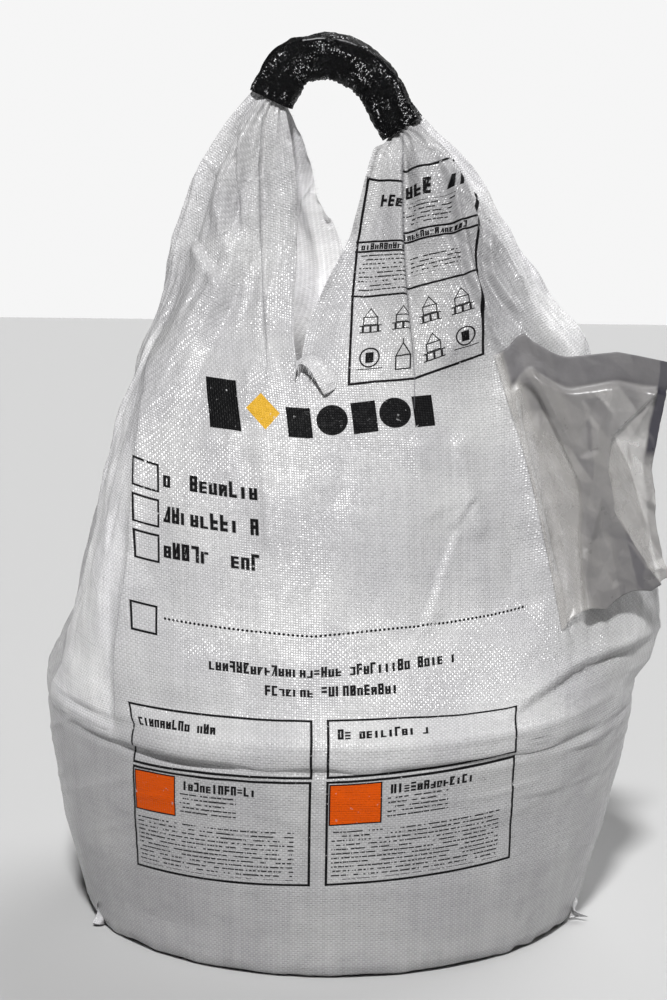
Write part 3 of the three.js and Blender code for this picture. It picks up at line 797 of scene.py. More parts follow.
top_maps = {name: tuple(part[TUCK_ROW:] for part in pair) for name, pair in cloth_maps.items()}
filled_body = ring_object("filled_body", body_cloth, body_maps, HALF)
empty_top = ring_object("empty_top", top_cloth, top_maps, HALF)


# Its finish: white laminated weave of flat tapes 4 mm apart, satin and a little
# grey, with a generic print in black, amber and orange on the front.
class Socket:
    """A node's output that can be used in an expression."""

    def __init__(self, tree, socket=None):
        self.tree, self.socket = tree, socket

    def node(self, kind, settings, values, output=0):
        """Adds a node of the tree: first its settings, then the values or links of its sockets."""
        made = self.tree.nodes.new(kind)
        for name, value in settings.items():
            setattr(made, name, value)
        for name, value in values.items():
            if isinstance(value, Socket):
                self.tree.links.new(value.socket, made.inputs[name])
            else:
                made.inputs[name].default_value = value
        return Socket(self.tree, made.outputs[output])

    def maths(self, operation, *values):
        return self.node("ShaderNodeMath", {"operation": operation}, dict(enumerate(values)))

    def __add__(self, other):
        return self.maths("ADD", self, other)

    def __radd__(self, other):
        return self.maths("ADD", other, self)

    def __sub__(self, other):
        return self.maths("SUBTRACT", self, other)

    def __rsub__(self, other):
        return self.maths("SUBTRACT", other, self)

    def __mul__(self, other):
        return self.maths("MULTIPLY", self, other)

    def __rmul__(self, other):
        return self.maths("MULTIPLY", other, self)

    def __truediv__(self, other):
        return self.maths("DIVIDE", self, other)

    def __pow__(self, other):
        return self.maths("POWER", self, other)

    def __gt__(self, other):
        return self.maths("GREATER_THAN", self, other)

    def size(self):
        return self.maths("ABSOLUTE", self)

    def floor(self):
        return self.maths("FLOOR", self)

    def part(self):
        return self.maths("FRACT", self)

    def least(self, other):
        return self.maths("MINIMUM", self, other)

    def most(self, other):
        return self.maths("MAXIMUM", self, other)

    def step(self, low, high):
        """0 where the value is low, 1 where it is high, and smooth between."""
        return self.node(
            "ShaderNodeMapRange", {"interpolation_type": "SMOOTHSTEP"},
            {"Value": self, "From Min": low, "From Max": high},
        )

    def noise(self, scale, detail=2.0, roughness=0.5):
        return self.node(
            "ShaderNodeTexNoise", {},
            {"Vector": self, "Scale": scale, "Detail": detail, "Roughness": roughness},
        )

    def chance(self):
        """A random number for each whole number."""
        return self.node("ShaderNodeTexWhiteNoise", {"noise_dimensions": "1D"}, {"W": self})

    def joined(self, y, z=0.0):
        return self.node("ShaderNodeCombineXYZ", {}, {"X": self, "Y": y, "Z": z})

    def halves(self):
        """The first two numbers of a vector."""
        return [self.node("ShaderNodeSeparateXYZ", {}, {0: self}, k) for k in (0, 1)]

    def stretched(self, scale):
        return self.node("ShaderNodeVectorMath", {"operation": "MULTIPLY"}, {0: self, 1: scale})

    def between(self, first, second):
        """The first colour where this share is 0, the second one where it is 1."""
        return self.node("ShaderNodeMix", {"data_type": "RGBA"}, {0: self, 6: first, 7: second}, 2)

    def tinted(self, share, colour):
        """This colour mixed with another one by a share."""
        return share.between(self, colour)

    def dimmed(self, share):
        """This colour darkened by a number that varies."""
        grey = self.node("ShaderNodeCombineColor", {}, {0: share, 1: share, 2: share})
        return self.node(
            "ShaderNodeMix", {"data_type": "RGBA", "blend_type": "MULTIPLY"},
            {0: 1.0, 6: self, 7: grey}, 2,
        )

    def ridged(self):
        """Sharp ridges where a noise is at its middle."""
        return 1 - (self - 0.5).size() * 2

    def bumped(self, distance, below=None):
        """The normal of a surface with this height."""
        values = {"Height": self, "Distance": distance, "Strength": 1.0}
        if below is not None:
            values["Normal"] = below
        return self.node("ShaderNodeBump", {}, values)


def new_finish(name, **constants):
    """A material, its shader and a start for its expressions."""
    material = bpy.data.materials.new(name)
    material.use_nodes = True
    shader = material.node_tree.nodes["Principled BSDF"]
    for socket, value in constants.items():
        shader.inputs[socket.replace("_", " ")].default_value = value
    return material, shader, Socket(material.node_tree)


def feed(shader, name, value):
    shader.id_data.links.new(value.socket, shader.inputs[name])


def own_map(start, name):
    return start.node("ShaderNodeUVMap", {"uv_map": name}, {}).halves()


def own_place(start):
    """The place of a point, in metres of the object."""
    return start.node("ShaderNodeTexCoord", {}, {}, 3)


def woven(u, v, pitch):
    """Relief of a plain weave of flat tapes, 0 to 1, and 1 where the upright tape is on top."""
    across, along = u / pitch, v / pitch
    upright = ((across.floor() + along.floor()) * 0.5).part() > 0.25
    a, b = across.part() * 2 - 1, along.part() * 2 - 1
    a, b = a * a, b * b
    warp, weft = (1 - b) * (1 - a * a * a), (1 - a) * (1 - b * b * b)
    return warp * upright + weft * (1 - upright), upright


TAPE_PITCH = 0.0041
cloth, cloth_shader, base = new_finish("woven_polypropylene", Specular_IOR_Level=0.5)
u, v = own_map(base, "cloth")
place = own_place(base)
relief, upright = woven(u, v, TAPE_PITCH)
tape_shade = 0.06 * (u / TAPE_PITCH).floor().chance()
tape_shade = tape_shade + 0.035 * (v / TAPE_PITCH).floor().chance()
bands = u.joined(v * 0.06).noise(38, 2)
clouds = place.noise(7, 4)
# Painted light in the weave's colour: its crowns are painted lighter and its gaps darker, the upright
# tapes darker than the level ones, and the large clouds add painted patches of sheen over uneven tone;
# the tape streaks and bands are the cloth's own tone
weave_tone_and_painted_sheen = 0.61 + 0.14 * relief + tape_shade + 0.10 * bands + 0.30 * clouds - 0.14 * upright
low_dirt = place.noise(16, 5, 0.65).step(0.48, 0.75) * (1 - v.step(0.02, 0.30))
weave_tone_and_painted_sheen = weave_tone_and_painted_sheen - 0.12 * low_dirt
# the second number of the folds map is painted light and shade, with the grey of the powder behind the
# cloth
fold_line, painted_light_and_powder_grey = own_map(base, "folds")
COOL_WHITE, WARM_WHITE = (0.565, 0.560, 0.572, 1), (0.60, 0.597, 0.598, 1)
fabric = clouds.step(0.35, 0.7).between(COOL_WHITE, WARM_WHITE).dimmed(weave_tone_and_painted_sheen * painted_light_and_powder_grey)

# Print. Its coordinates are metres of cloth, and the label of the right leg is
# moved 5 m aside, so that one set of patterns serves both.
PRINT_BLUR = 0.0005
LABEL_ASIDE = 5.0
print_u, print_v = own_map(base, "print")
pleat_side, left_pleat = own_map(base, "marks")
past_pleat = pleat_side > 0
label_parts = [own_map(base, name) for name in ("leg_left", "leg_right")]
label_u, label_v = [
    label_parts[0][k] * (1 - past_pleat) + label_parts[1][k] * past_pleat for k in (0, 1)
]


def block(x, y, left, right, bottom, top):
    """Distance inside a rectangle, below 0 outside it."""
    return ((right - left) / 2 - (x - (left + right) / 2).size()).least(
        (top - bottom) / 2 - (y - (bottom + top) / 2).size()
    )


def filled(distance):
    return distance.step(-PRINT_BLUR, PRINT_BLUR)


def outlined(distance, width):
    return filled(width / 2 - distance.size())


def distance_of(x, y):
    return (x * x + y * y) ** 0.5


def repeated(value, pitch):
    """How far a value is from the middle of its own stretch, where stretches of this pitch repeat."""
    return ((value / pitch).part() - 0.5) * pitch


label_inside = block(label_u, label_v, -0.002, 0.234, -0.002, 0.372)
on_label = label_inside > 0
x = print_u * (1 - on_label) + (label_u + LABEL_ASIDE) * on_label
y = print_v * (1 - on_label) + label_v * on_label

# Small broken lines in the place of fine print
LINE_PITCH, LINE_HALF = 0.0078, 0.0012
line_number = (y / LINE_PITCH).floor()
small_text = filled(LINE_HALF - repeated(y, LINE_PITCH).size())
for in_a_metre, of_line, solid in ((290, 5.1, 0.44), (55, 2.7, 0.40)):
    broken = (x * in_a_metre).joined(line_number * of_line).noise(1.0, 0).step(0.36, solid)
    small_text = small_text * broken

# Two columns of frames, one frame over the other, with small lines and an orange square
PANEL_LEFT, PANEL_PITCH = -0.331, 0.3445
FRAME_LINE, BOX_LINE, THIN_LINE, PICTURE_LINE = 0.0042, 0.0038, 0.0024, 0.0022
ink = outlined(label_inside - 0.003, 0.0044) * on_label
panel = (x - PANEL_LEFT) / PANEL_PITCH
panel_u = panel.part() * PANEL_PITCH
on_panels = filled(block(x, y, PANEL_LEFT, 0.358, 0.18, 0.49))
frames = outlined(block(panel_u, y, 0.008, 0.325, 0.191, 0.373), FRAME_LINE)
frames = frames.most(outlined(block(panel_u, y, 0.008, 0.326, 0.381, 0.481), FRAME_LINE))
orange = block(panel_u, y, 0.012, 0.094, 0.298, 0.368)
frames = frames.most(outlined(orange, THIN_LINE))
small = block(panel_u, y, 0.016, 0.300, 0.199, 0.286)
small = small.most(block(panel_u, y, 0.104, 0.205, 0.305, 0.341))
ink = ink.most(frames.most(small_text * filled(small)) * on_panels)
orange = filled(orange) * on_panels

# Three choices with a box to tick, one over the other, one more box, and a line of dots
TICK_FOOT, TICK_PITCH = 0.7005, 0.0578
DOT_PITCH, DOT_RADIUS, DOT_HEIGHT = 0.0074, 0.0023, 0.620
tick = (y - TICK_FOOT) / TICK_PITCH
tick_v = tick.part() * TICK_PITCH
tick_rows = block(x, y, -0.32, -0.06, TICK_FOOT, 0.8739)
ticks = outlined(block(x, tick_v, -0.302, -0.259, 0.0090, 0.0520), BOX_LINE) * filled(tick_rows)
ink = ink.most(ticks).most(outlined(block(x, y, -0.308, -0.264, 0.592, 0.636), BOX_LINE))
dots = filled(DOT_RADIUS - distance_of(repeated(x, DOT_PITCH), y - DOT_HEIGHT))
ink = ink.most(dots * filled(block(x, y, -0.250, 0.372, 0.61, 0.63)))

# The big mark: a plain band of slabs, squares and discs with an amber lozenge among them
MARK_FOOT = 0.948
DISC_RADIUS, DISC_HEIGHT = 0.0258, 0.976
mark = block(x, y, -0.160, -0.107, MARK_FOOT, 1.034)
for slab_left, slab_right in ((-0.030, 0.010), (0.077, 0.117), (0.177, 0.210)):
    mark = mark.most(block(x, y, slab_left, slab_right, MARK_FOOT, 1.001))
for middle in (0.044, 0.147):
    mark = mark.most(DISC_RADIUS - distance_of(x - middle, y - DISC_HEIGHT))
LOZENGE_X, LOZENGE_Y, LOZENGE_HALF = -0.067, 0.988, 0.031
amber = filled(LOZENGE_HALF - (x - LOZENGE_X).size() * 1.15 - (y - LOZENGE_Y).size())
ink = ink.most(filled(mark))

# The handling label: rules, small lines, and plain outlines of a sack, a stack and a disc
CELL = (0.056, 0.067)
label_x = x - LABEL_ASIDE
for rule_height in (0.256, 0.238, 0.156):
    ink = ink.most(filled(0.0020 - (y - rule_height).size()) * on_label)
small = block(label_x, y, 0.092, 0.190, 0.268, 0.308)
small = small.most(block(label_x, y, 0.008, 0.096, 0.164, 0.232))
small = small.most(block(label_x, y, 0.118, 0.205, 0.176, 0.212))
ink = ink.most(small_text * filled(small))
across_cells, up_cells = (label_x - 0.006) / CELL[0], (y - 0.010) / CELL[1]
cell_x = across_cells.part() * CELL[0] - CELL[0] / 2
cell_y = up_cells.part() * CELL[1] - CELL[1] / 2
kind = (across_cells.floor() + 4 * up_cells.floor() + 3.0).chance()
sack = outlined(block(cell_x, cell_y, -0.012, 0.012, -0.024, -0.002), THIN_LINE)
hook = ((0.018 - cell_y) * 0.6 - cell_x.size()).least(cell_y + 0.002)
sack = sack.most(outlined(hook, THIN_LINE))
sack = sack.most(filled(block(cell_x, cell_y, -0.0009, 0.0009, 0.016, 0.026)))
stack = outlined(block(repeated(cell_x, 0.0130), cell_y, -0.0056, 0.0056, -0.022, -0.010), PICTURE_LINE)
stack = stack * filled(0.0190 - cell_x.size())
stack = stack.most(outlined(block(cell_x, cell_y, -0.0120, 0.0120, -0.008, 0.006), PICTURE_LINE))
roof = ((0.022 - cell_y) * 0.7 - cell_x.size()).least(cell_y - 0.006)
stack = stack.most(outlined(roof, PICTURE_LINE))
disc = filled(0.0014 - (distance_of(cell_x, cell_y) - 0.016).size())
disc = disc.most(filled(block(cell_x, cell_y, -0.007, 0.007, -0.009, 0.009)))
disc = disc.most(filled(block(cell_x, cell_y, -0.022, 0.022, -0.0205, -0.0188)))
second, third = kind > 0.40, kind > 0.72
picture = sack * (1 - second) + (stack * (1 - third) + disc * third) * second
ink = ink.most(picture * filled(block(label_x, y, 0.006, 0.228, 0.010, 0.144)))

# Heavy writing: rows of upright stems, level bars and slants that stand for letters and spell nothing
ROW_APART, TICK_APART, PANEL_APART = 40.0, 11, 13  # so that no two rows show the same letters
WRITING = [
    # across, up, left, right, bottom and top of the row, its letters in a metre, where else it
    # has to lie, and what tells its repeats apart
    (x, y, -0.166, 0.234, 0.5515, 0.5685, 88, None, 0),
    (x, y, -0.083, 0.132, 0.5205, 0.5365, 88, None, 0),
    (x, tick_v, -0.246, -0.090, 0.0185, 0.0455, 60, tick_rows > 0, TICK_APART * tick.floor()),
    (panel_u, y, 0.104, 0.255, 0.3465, 0.3625, 92, on_panels, PANEL_APART * panel.floor()),
    (panel_u, y, 0.022, 0.170, 0.4455, 0.4645, 88, on_panels, PANEL_APART * panel.floor()),
    (label_x, y, 0.028, 0.082, 0.3210, 0.3430, 70, on_label, 0),
    (label_x, y, 0.100, 0.215, 0.3170, 0.3470, 62, on_label, 0),
    (label_x, y, 0.008, 0.215, 0.2410, 0.2530, 122, on_label, 0),
]
in_writing, letter_up, letter_across = 0.0, 0.0, 0.0
for k, (row_x, row_y, row_left, row_right, foot, top, letters, lies_in, repeat) in enumerate(WRITING):
    row_left, row_right = round(row_left * letters) / letters, round(row_right * letters) / letters
    in_row = block(row_x, row_y, row_left, row_right, foot, top) > 0
    if lies_in is not None:
        in_row = in_row * lies_in
    in_writing = in_row + in_writing
    letter_up = in_row * ((row_y - foot) / (top - foot)) + letter_up
    letter_across = in_row * (row_x * letters + (repeat + ROW_APART * k)) + letter_across
letter, letter_across = letter_across.floor(), letter_across.part()
low_letter = (letter + 0.71).chance() > 0.34
letter_up = letter_up * (1 + 0.36 * low_letter)


def stroke(value, middle, half):
    return (half - (value - middle).size()).step(-0.05, 0.05)


def comes(number, chance):
    return (letter + number).chance() > chance


STEM_HALF, BAR_HALF, SLANT_HALF = 0.18, 0.13, 0.12
narrow = comes(0.13, 0.86)
wide = stroke(letter_across, 0.43, 0.39)
glyph = stroke(letter_across, 0.20, STEM_HALF) * comes(0.21, 0.14) * (1 - narrow)
glyph = glyph.most(stroke(letter_across, 0.68, STEM_HALF) * comes(0.32, 0.36) * (1 - narrow))
glyph = glyph.most(stroke(letter_across, 0.42, 0.19) * narrow)
for number, middle, chance in ((0.43, 0.91, 0.38), (0.54, 0.50, 0.52), (0.65, 0.09, 0.40)):
    bar = stroke(letter_up, middle, BAR_HALF) * wide * comes(number, chance)
    glyph = glyph.most(bar * (1 - narrow))
slant = stroke(letter_across - 0.50 * letter_up, 0.17, SLANT_HALF) * comes(0.76, 0.80) * (1 - narrow)
glyph = glyph.most(slant) * comes(0.87, 0.09) * (1 - (letter_up > 1.0))
ink = ink.most(glyph * in_writing)

worn = place.noise(95, 4, 0.6).step(0.25, 0.36) * (0.985 + 0.015 * relief)
INK_BLACK, CREASE_SHADOW_GREY = (0.003, 0.003, 0.0035, 1), (0.10, 0.10, 0.11, 1)
ORANGE, AMBER = (0.68, 0.085, 0.000, 1), (0.68, 0.39, 0.035, 1)
printed = fabric.tinted(amber * worn, AMBER).tinted(orange * worn, ORANGE).tinted(ink * worn, INK_BLACK)

# Hard creases made when the tube was folded flat, painted as thin dark lines: painted shadow in the
# creases
CREASE_SHADOW_LINES = [(pleat_side, 0.0011, 1.0), (left_pleat, 0.0011, 0.6), (fold_line, 0.0010, 0.45)]
painted_crease_shadow = 0.0
for distance, half, depth in CREASE_SHADOW_LINES:
    painted_crease_shadow = ((half - distance.size()).step(-0.0008, 0.0008) * depth).most(painted_crease_shadow)
printed = printed.tinted(0.55 * painted_crease_shadow, CREASE_SHADOW_GREY)
feed(cloth_shader, "Base Color", printed)

ridges = 0.0
for cells, share in ((7.0, 1.0), (17.0, 0.45), (38.0, 0.2)):
    middle = (place.noise(cells, 0.6) - 0.5).size()
    here = place.stretched((1.0, 1.0, 1.6)).noise(cells * 0.8, 1).step(0.45, 0.60)
    ridges = (1 - middle.step(0.0, 0.022)) * here * share + ridges
place_x, place_z = [place.node("ShaderNodeSeparateXYZ", {}, {0: place}, k) for k in (0, 2)]
slack = place_z.step(0.90, 1.12).most(place_x.size().step(0.30, 0.44) * place_z.step(0.38, 0.46))
uneven = place.noise(30, 3, 0.5)
crinkled = (ridges * 0.32 * slack + uneven * (0.55 + 0.45 * slack)).bumped(0.0036)
crown = ((u / TAPE_PITCH).floor() * 17.3 + (v / TAPE_PITCH).floor()).chance()
crinkled = (relief * (0.45 + 1.1 * crown)).bumped(0.00055, crinkled)
feed(cloth_shader, "Normal", crinkled)
feed(cloth_shader, "Roughness", 0.13 + 0.12 * place.noise(24, 4, 0.6) + 0.05 * upright + 0.08 * ink)
# The print is matt: it mirrors less of the light than the laminate under it
matt_print = base.node(
    "ShaderNodeBsdfPrincipled", {},
    {"Base Color": printed, "Roughness": 0.42, "Specular IOR Level": 0.07, "Normal": crinkled},
)
coated = ink.most(orange).most(amber) * worn
surface = base.node("ShaderNodeMixShader", {}, {
    0: coated, 1: Socket(cloth.node_tree, cloth_shader.outputs["BSDF"]), 2: matt_print,
})
feed(cloth.node_tree.nodes["Material Output"], "Surface", surface)
for piece in (filled_body, empty_top):
    piece.data.materials.append(cloth)
    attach(piece, "root")
    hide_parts("woven_bag")

# The loop sleeve: a wrap of thin glossy black cloth, wound flat round the gathered
# legs and lapped along the outside of the loop. It is loose, crinkled, and dented
# where it bends at the right shoulder.
SLEEVE_HALF = (0.0378, 0.0213)
SLEEVE_SKIN = 0.0022
SLEEVE_POWER = 3.6
SLEEVE_LONG = 0.311
DEEPEST_DENT = 0.0030
SLEEVE_ROWS, SLEEVE_COLUMNS = 190, 132


def sleeve_rings(half_width, half_depth, rows):
    """Smooth rings round the loop line, and for each point its share along it and angle round it."""
    share = np.linspace(0, 1, rows)
    angle = np.arange(SLEEVE_COLUMNS) / SLEEVE_COLUMNS * 2 * math.pi
    x, z, dx, dz = (part[:, None] for part in loop_frames(share))
    outwards, y = round_section(angle[None, :], half_width, half_depth, SLEEVE_POWER)
    rings = np.stack([x - dz * outwards, y + 0 * x, z + dx * outwards], axis=-1)
    return rings, share[:, None] + 0 * outwards, angle[None, :] + 0 * x


rings, sleeve_share, sleeve_angle = sleeve_rings(*SLEEVE_HALF, SLEEVE_ROWS)
ring_out = np.cross(
    np.roll(rings, -1, axis=1) - np.roll(rings, 1, axis=1), np.gradient(rings, axis=0)
)
ring_out /= np.linalg.norm(ring_out, axis=2, keepdims=True)
middle_x, middle_z, _, _ = loop_frames(np.linspace(0, 1, SLEEVE_ROWS))
from_middle = rings - np.stack([middle_x, 0 * middle_x, middle_z], -1)[:, None]
if np.sum(ring_out * from_middle) < 0:
    ring_out = -ring_out
sleeve_along = sleeve_share * SLEEVE_LONG
crinkles = 0
for size, amount, seed in ((0.034, 0.0022, 61), (0.016, 0.0017, 62), (0.0075, 0.0009, 63)):
    cells_round = np.cos(sleeve_angle) * 0.036 / size + 20, np.sin(sleeve_angle) * 0.024 / size + 20
    crinkles = crinkles + amount * (
        0.62 - 2 * np.abs(soft_noise(sleeve_along / size + 20, *cells_round, seed))
    )
# the cloth is pushed together inside the loop
inner_bend = np.maximum(np.cos(sleeve_angle), 0) ** 2
uneven_fold = 1.3 * soft_noise(sleeve_along / 0.03 + 9, sleeve_angle + 9, 9, 65)
folded = np.sin(sleeve_along / 0.0135 * 2 * math.pi + uneven_fold)
crinkles = crinkles + 0.0011 * inner_bend * folded * ease(np.sin(sleeve_share * math.pi), 0.1, 0.5)
# dents of the bend at the right shoulder and a softer one at the left
round_loop = 0.02 * np.cos(sleeve_angle)
at_sides = 0.35 + 0.65 * np.abs(np.sin(sleeve_angle))
for spot, reach, depth in ((0.725, 0.018, 0.0045), (0.775, 0.010, 0.0030), (0.255, 0.020, 0.0020)):
    dent = np.exp(-((sleeve_share - spot - round_loop) / reach) ** 2)
    crinkles = crinkles - depth * dent * at_sides
# the lap: the outer edge of the wrap lies a skin higher on one side of the outer face
lap_angle = math.pi * 0.745 + 0.03 * np.sin(sleeve_share * 9)
from_lap = (sleeve_angle - lap_angle) * 0.03
crinkles = crinkles + 0.0016 * ease(from_lap, -0.001, 0.0005) * ease(-from_lap, -0.035, 0.002)
flare = np.exp(-np.minimum(sleeve_share, 1 - sleeve_share) / 0.02)
crinkles = crinkles + 0.0012 * flare
sleeve_outer = rings + ring_out * np.maximum(crinkles, -DEEPEST_DENT)[..., None]
sleeve_inner = sleeve_outer - ring_out * SLEEVE_SKIN
inner_pick = np.linspace(SLEEVE_ROWS - 1, 0, 40).astype(int)
sleeve_grid = np.concatenate([sleeve_outer, sleeve_inner[inner_pick]])
wrap_round = np.concatenate([sleeve_angle, sleeve_angle[inner_pick]]) * 0.032
wrap_along = np.concatenate([sleeve_along, sleeve_along[inner_pick]])
lap_line = np.where(np.abs(sleeve_share - 0.43) < 0.125, from_lap, AWAY)
wrap_maps = {
    "wrap": (wrap_along, wrap_round),
    "lap": (np.concatenate([lap_line, 0 * lap_line[inner_pick] + AWAY]), 0 * wrap_round),
}
sleeve = ring_object("loop_sleeve_wrap", sleeve_grid, wrap_maps, closed=(True, True))

SLEEVE_TAPE = 0.0021
black_wrap, black_shader, base = new_finish("black_wrap", Specular_IOR_Level=0.16)
u, v = own_map(base, "wrap")
place = own_place(base)
relief, upright = woven(u, v, SLEEVE_TAPE)
scuffs = place.noise(60, 5, 0.7)
BLACK, SCUFFED_BLACK = (0.0030, 0.0030, 0.0035, 1), (0.014, 0.014, 0.016, 1)
GLINT_GREY, EDGE_GREY = (0.85, 0.85, 0.87, 1), (0.55, 0.55, 0.56, 1)
black = scuffs.step(0.55, 0.8).between(BLACK, SCUFFED_BLACK)
lap_edge, _ = own_map(base, "lap")
edge_glint = (0.0006 - lap_edge.size()).step(-0.0005, 0.0005) * place.noise(90, 2).step(0.38, 0.52)
spot = ((u / SLEEVE_TAPE).floor() * 17.3 + (v / SLEEVE_TAPE).floor()).chance()
# light specks on the crowns of the weave in patches are painted glints, and the upright tapes are
# painted lighter than the level ones: painted sheen
patches = (u * 18).joined(v * 80).noise(1.0, 2).step(0.50, 0.62)
painted_glints = spot.step(0.66, 0.98) * relief.step(0.45, 0.75) * patches
black = black.dimmed(0.7 + 0.4 * upright).tinted(0.95 * painted_glints, GLINT_GREY)
feed(black_shader, "Base Color", black.tinted(0.8 * edge_glint, EDGE_GREY))
feed(black_shader, "Roughness", 0.09 + 0.14 * scuffs)
small_dents = place.noise(70, 4, 0.6).ridged().bumped(0.0050)
feed(black_shader, "Normal", relief.bumped(0.0006, small_dents))
sleeve.data.materials.append(black_wrap)
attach(sleeve, "root")
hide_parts("loop_sleeve")

# The document pouch: two layers of thin grey translucent film, welded at the right
# edge and the top, with its left edge under the fold of the cloth. Its middle hangs
# in a fold that is narrow at the waist and fans out to the bottom.
POUCH_ROWS, POUCH_COLUMNS = 150, 110
POUCH_HEIGHTS = (0.545, 0.985)
film_rise, film_across = np.meshgrid(
    np.linspace(0, 1, POUCH_ROWS), np.linspace(0, 1, POUCH_COLUMNS), indexing="ij"
)
tongue = 0.036 * np.exp(-((film_across - 0.2) / 0.12) ** 2)
tongue = tongue * (1 - 0.25 * ease(film_across, 0.2, 0.24))
corner = 0.012 * np.clip(1 - np.abs(film_across - 0.70) / 0.30, 0, 1) - 0.012 * film_across ** 3
scallops = 0.012 * np.abs(np.sin(film_across * 7.5)) * (film_across > 0.05)
film_foot = POUCH_HEIGHTS[0] + 0.050 * film_across + scallops
film_z = film_foot + (POUCH_HEIGHTS[1] + tongue + corner - film_foot) * film_rise
left_x, left_y = on_rail(FRONT_RIGHT_FOLD, film_z.ravel()).T.reshape(2, *film_z.shape)
right_x = 0.566 - 0.027 * np.sin(math.pi * np.clip(film_rise * 1.05, 0, 1)) ** 1.3
right_y = -0.092 - 0.026 * film_rise
film_x = left_x + 0.012 + (right_x - left_x - 0.012) * film_across
film_y = left_y - 0.010 + (right_y - left_y + 0.010) * film_across
film_y = film_y - 0.012 * np.sin(math.pi * film_across)
# it lies in front of the cloth, also over its folds
behind_film = top_cloth[:, (turn > 0.02) & (turn < 0.30)].reshape(-1, 3)
cloth_tree = KDTree(len(behind_film))
for k, (x_here, _, z_here) in enumerate(behind_film.tolist()):
    cloth_tree.insert((x_here, 0, z_here), k)
cloth_tree.balance()
film_places = zip(film_x.ravel().tolist(), film_z.ravel().tolist())
found = [cloth_tree.find((x_here, 0, z_here))[1] for x_here, z_here in film_places]
pushed = np.clip(film_y - behind_film[found, 1].reshape(film_y.shape) + 0.004, 0, 0.04)
for _ in range(12):
    around = np.pad(pushed, 1, mode="edge")
    around = (around[:-2, 1:-1] + around[2:, 1:-1] + around[1:-1, :-2] + around[1:-1, 2:]) / 4
    pushed = np.maximum(around, 0.6 * pushed)
film_y -= pushed
film = np.stack([film_x, film_y, film_z], axis=-1)
film_out = normals_of(film)

# Edges of the middle fold, as shares of the height and the width
FOLD_LEFT = [
    (0.0, 0.20), (0.20, 0.27), (0.36, 0.35), (0.52, 0.36), (0.66, 0.27), (0.80, 0.17), (0.88, 0.08),
]
FOLD_RIGHT = [
    (0.0, 0.92), (0.16, 0.80), (0.34, 0.66), (0.52, 0.62), (0.64, 0.66), (0.76, 0.82), (0.88, 0.95),
]
sway = 0.012 * soft_noise(film_rise * 9 + 3, 0, 0, 70)
from_left = film_across - np.interp(film_rise, *np.array(FOLD_LEFT).T) - sway
from_right = np.interp(film_rise, *np.array(FOLD_RIGHT).T) + sway - film_across
below_band = 1 - ease(film_rise, 0.85, 0.89)
middle_fold = ease(from_left, -0.012, 0.018) * ease(from_right, -0.012, 0.018)
fold_height = 0.010 * middle_fold * below_band
WAIST_X, WAIST_Z = 0.452, 0.80
direction = np.arctan2(film_x - WAIST_X, np.abs(film_z - WAIST_Z) + 0.05)
from_waist = np.hypot(film_z - WAIST_Z, film_x - WAIST_X)
fan_noise = soft_noise(direction * 3 + 20, from_waist * 7, (film_z > WAIST_Z) * 9, 71)
fan = 1 - np.abs(np.sin(direction * 6.5 + 1.5 * fan_noise + 0.4)) * 1.6
fold_height += 0.0075 * fan * ease(from_waist, 0.03, 0.14) * (0.4 + 0.6 * middle_fold) * below_band


def film_facets(count_across, count_up, seed):
    """Values from -1 to 1 of film crumpled into flat facets, this many across and up."""
    random = np.random.default_rng(seed)
    i, j = np.meshgrid(np.arange(-1, count_across + 2), np.arange(-1, count_up + 2), indexing="ij")
    x = (i + random.uniform(-0.4, 0.4, i.shape)) / count_across * (POUCH_COLUMNS - 1)
    y = (j + random.uniform(-0.4, 0.4, i.shape)) / count_up * (POUCH_ROWS - 1)
    points = np.column_stack([x.ravel(), y.ravel()])
    return facet_field(POUCH_ROWS, POUCH_COLUMNS, points, random.uniform(-1, 1, i.size))


small, smaller = film_facets(6, 8, 72), film_facets(13, 17, 73)
fold_height += (0.0028 + 0.0062 * small + 0.0024 * smaller) * (0.12 + 0.88 * below_band)
band_edge = np.exp(-((film_rise - 0.872 + 0.01 * small) / 0.012) ** 2)
fold_height -= 0.0035 * band_edge
tip_curl = ease(film_rise, 0.93, 1.0) * np.exp(-((film_across - 0.2) / 0.16) ** 2)
free = ease(film_across, 0.0, 0.10)
film_front = film + film_out * (fold_height * free + 0.004 * tip_curl + 0.0012)[..., None]
pillow = np.sqrt(np.clip(np.sin(math.pi * film_across) * np.sin(math.pi * film_rise), 0, 1))
film_back = film_front - film_out * (0.0010 + 0.0040 * pillow)[..., None]


def layered(name, front_grid, back_grid, maps):
    """Two layers joined round their edges."""
    count = front_grid[..., 0].size
    index = np.arange(count).reshape(front_grid.shape[:2])
    quads = quads_of(index).reshape(-1, 4)
    rim = np.concatenate([index[0], index[1:, -1], index[-1, -2::-1], index[-2:0:-1, 0]])
    after = np.roll(rim, -1)
    edge = np.column_stack([after, rim, rim + count, after + count])
    faces = np.concatenate([quads, quads[:, ::-1] + count, edge])
    return linked(name, cloth_mesh(name, [front_grid, back_grid], faces, maps))


# How dark the film is where it lies in more layers: the band and tongue at the top, the folded
# right edge, the middle fold and the doubled part above its waist
layers = 0.07 + 0.18 * ease(film_across, 0.10, 0.20)
for mask, dark in (
    (ease(film_rise, 0.60, 0.68) * ease(film_across, 0.08, 0.16), 0.48),
    (middle_fold, 0.60),
    (middle_fold * (1 - ease(film_rise, 0.2, 0.5)) * ease(film_across, 0.52, 0.57), 0.72),
    ((1 - below_band) * ease(film_across, 0.02, 0.07), 0.80),
    (ease(film_across, 0.925, 0.940), 0.45),
    (ease(film_across, 0.925, 0.940) * ease(film_rise, 0.50, 0.62), 0.95),
):
    layers = np.maximum(layers, dark * mask)
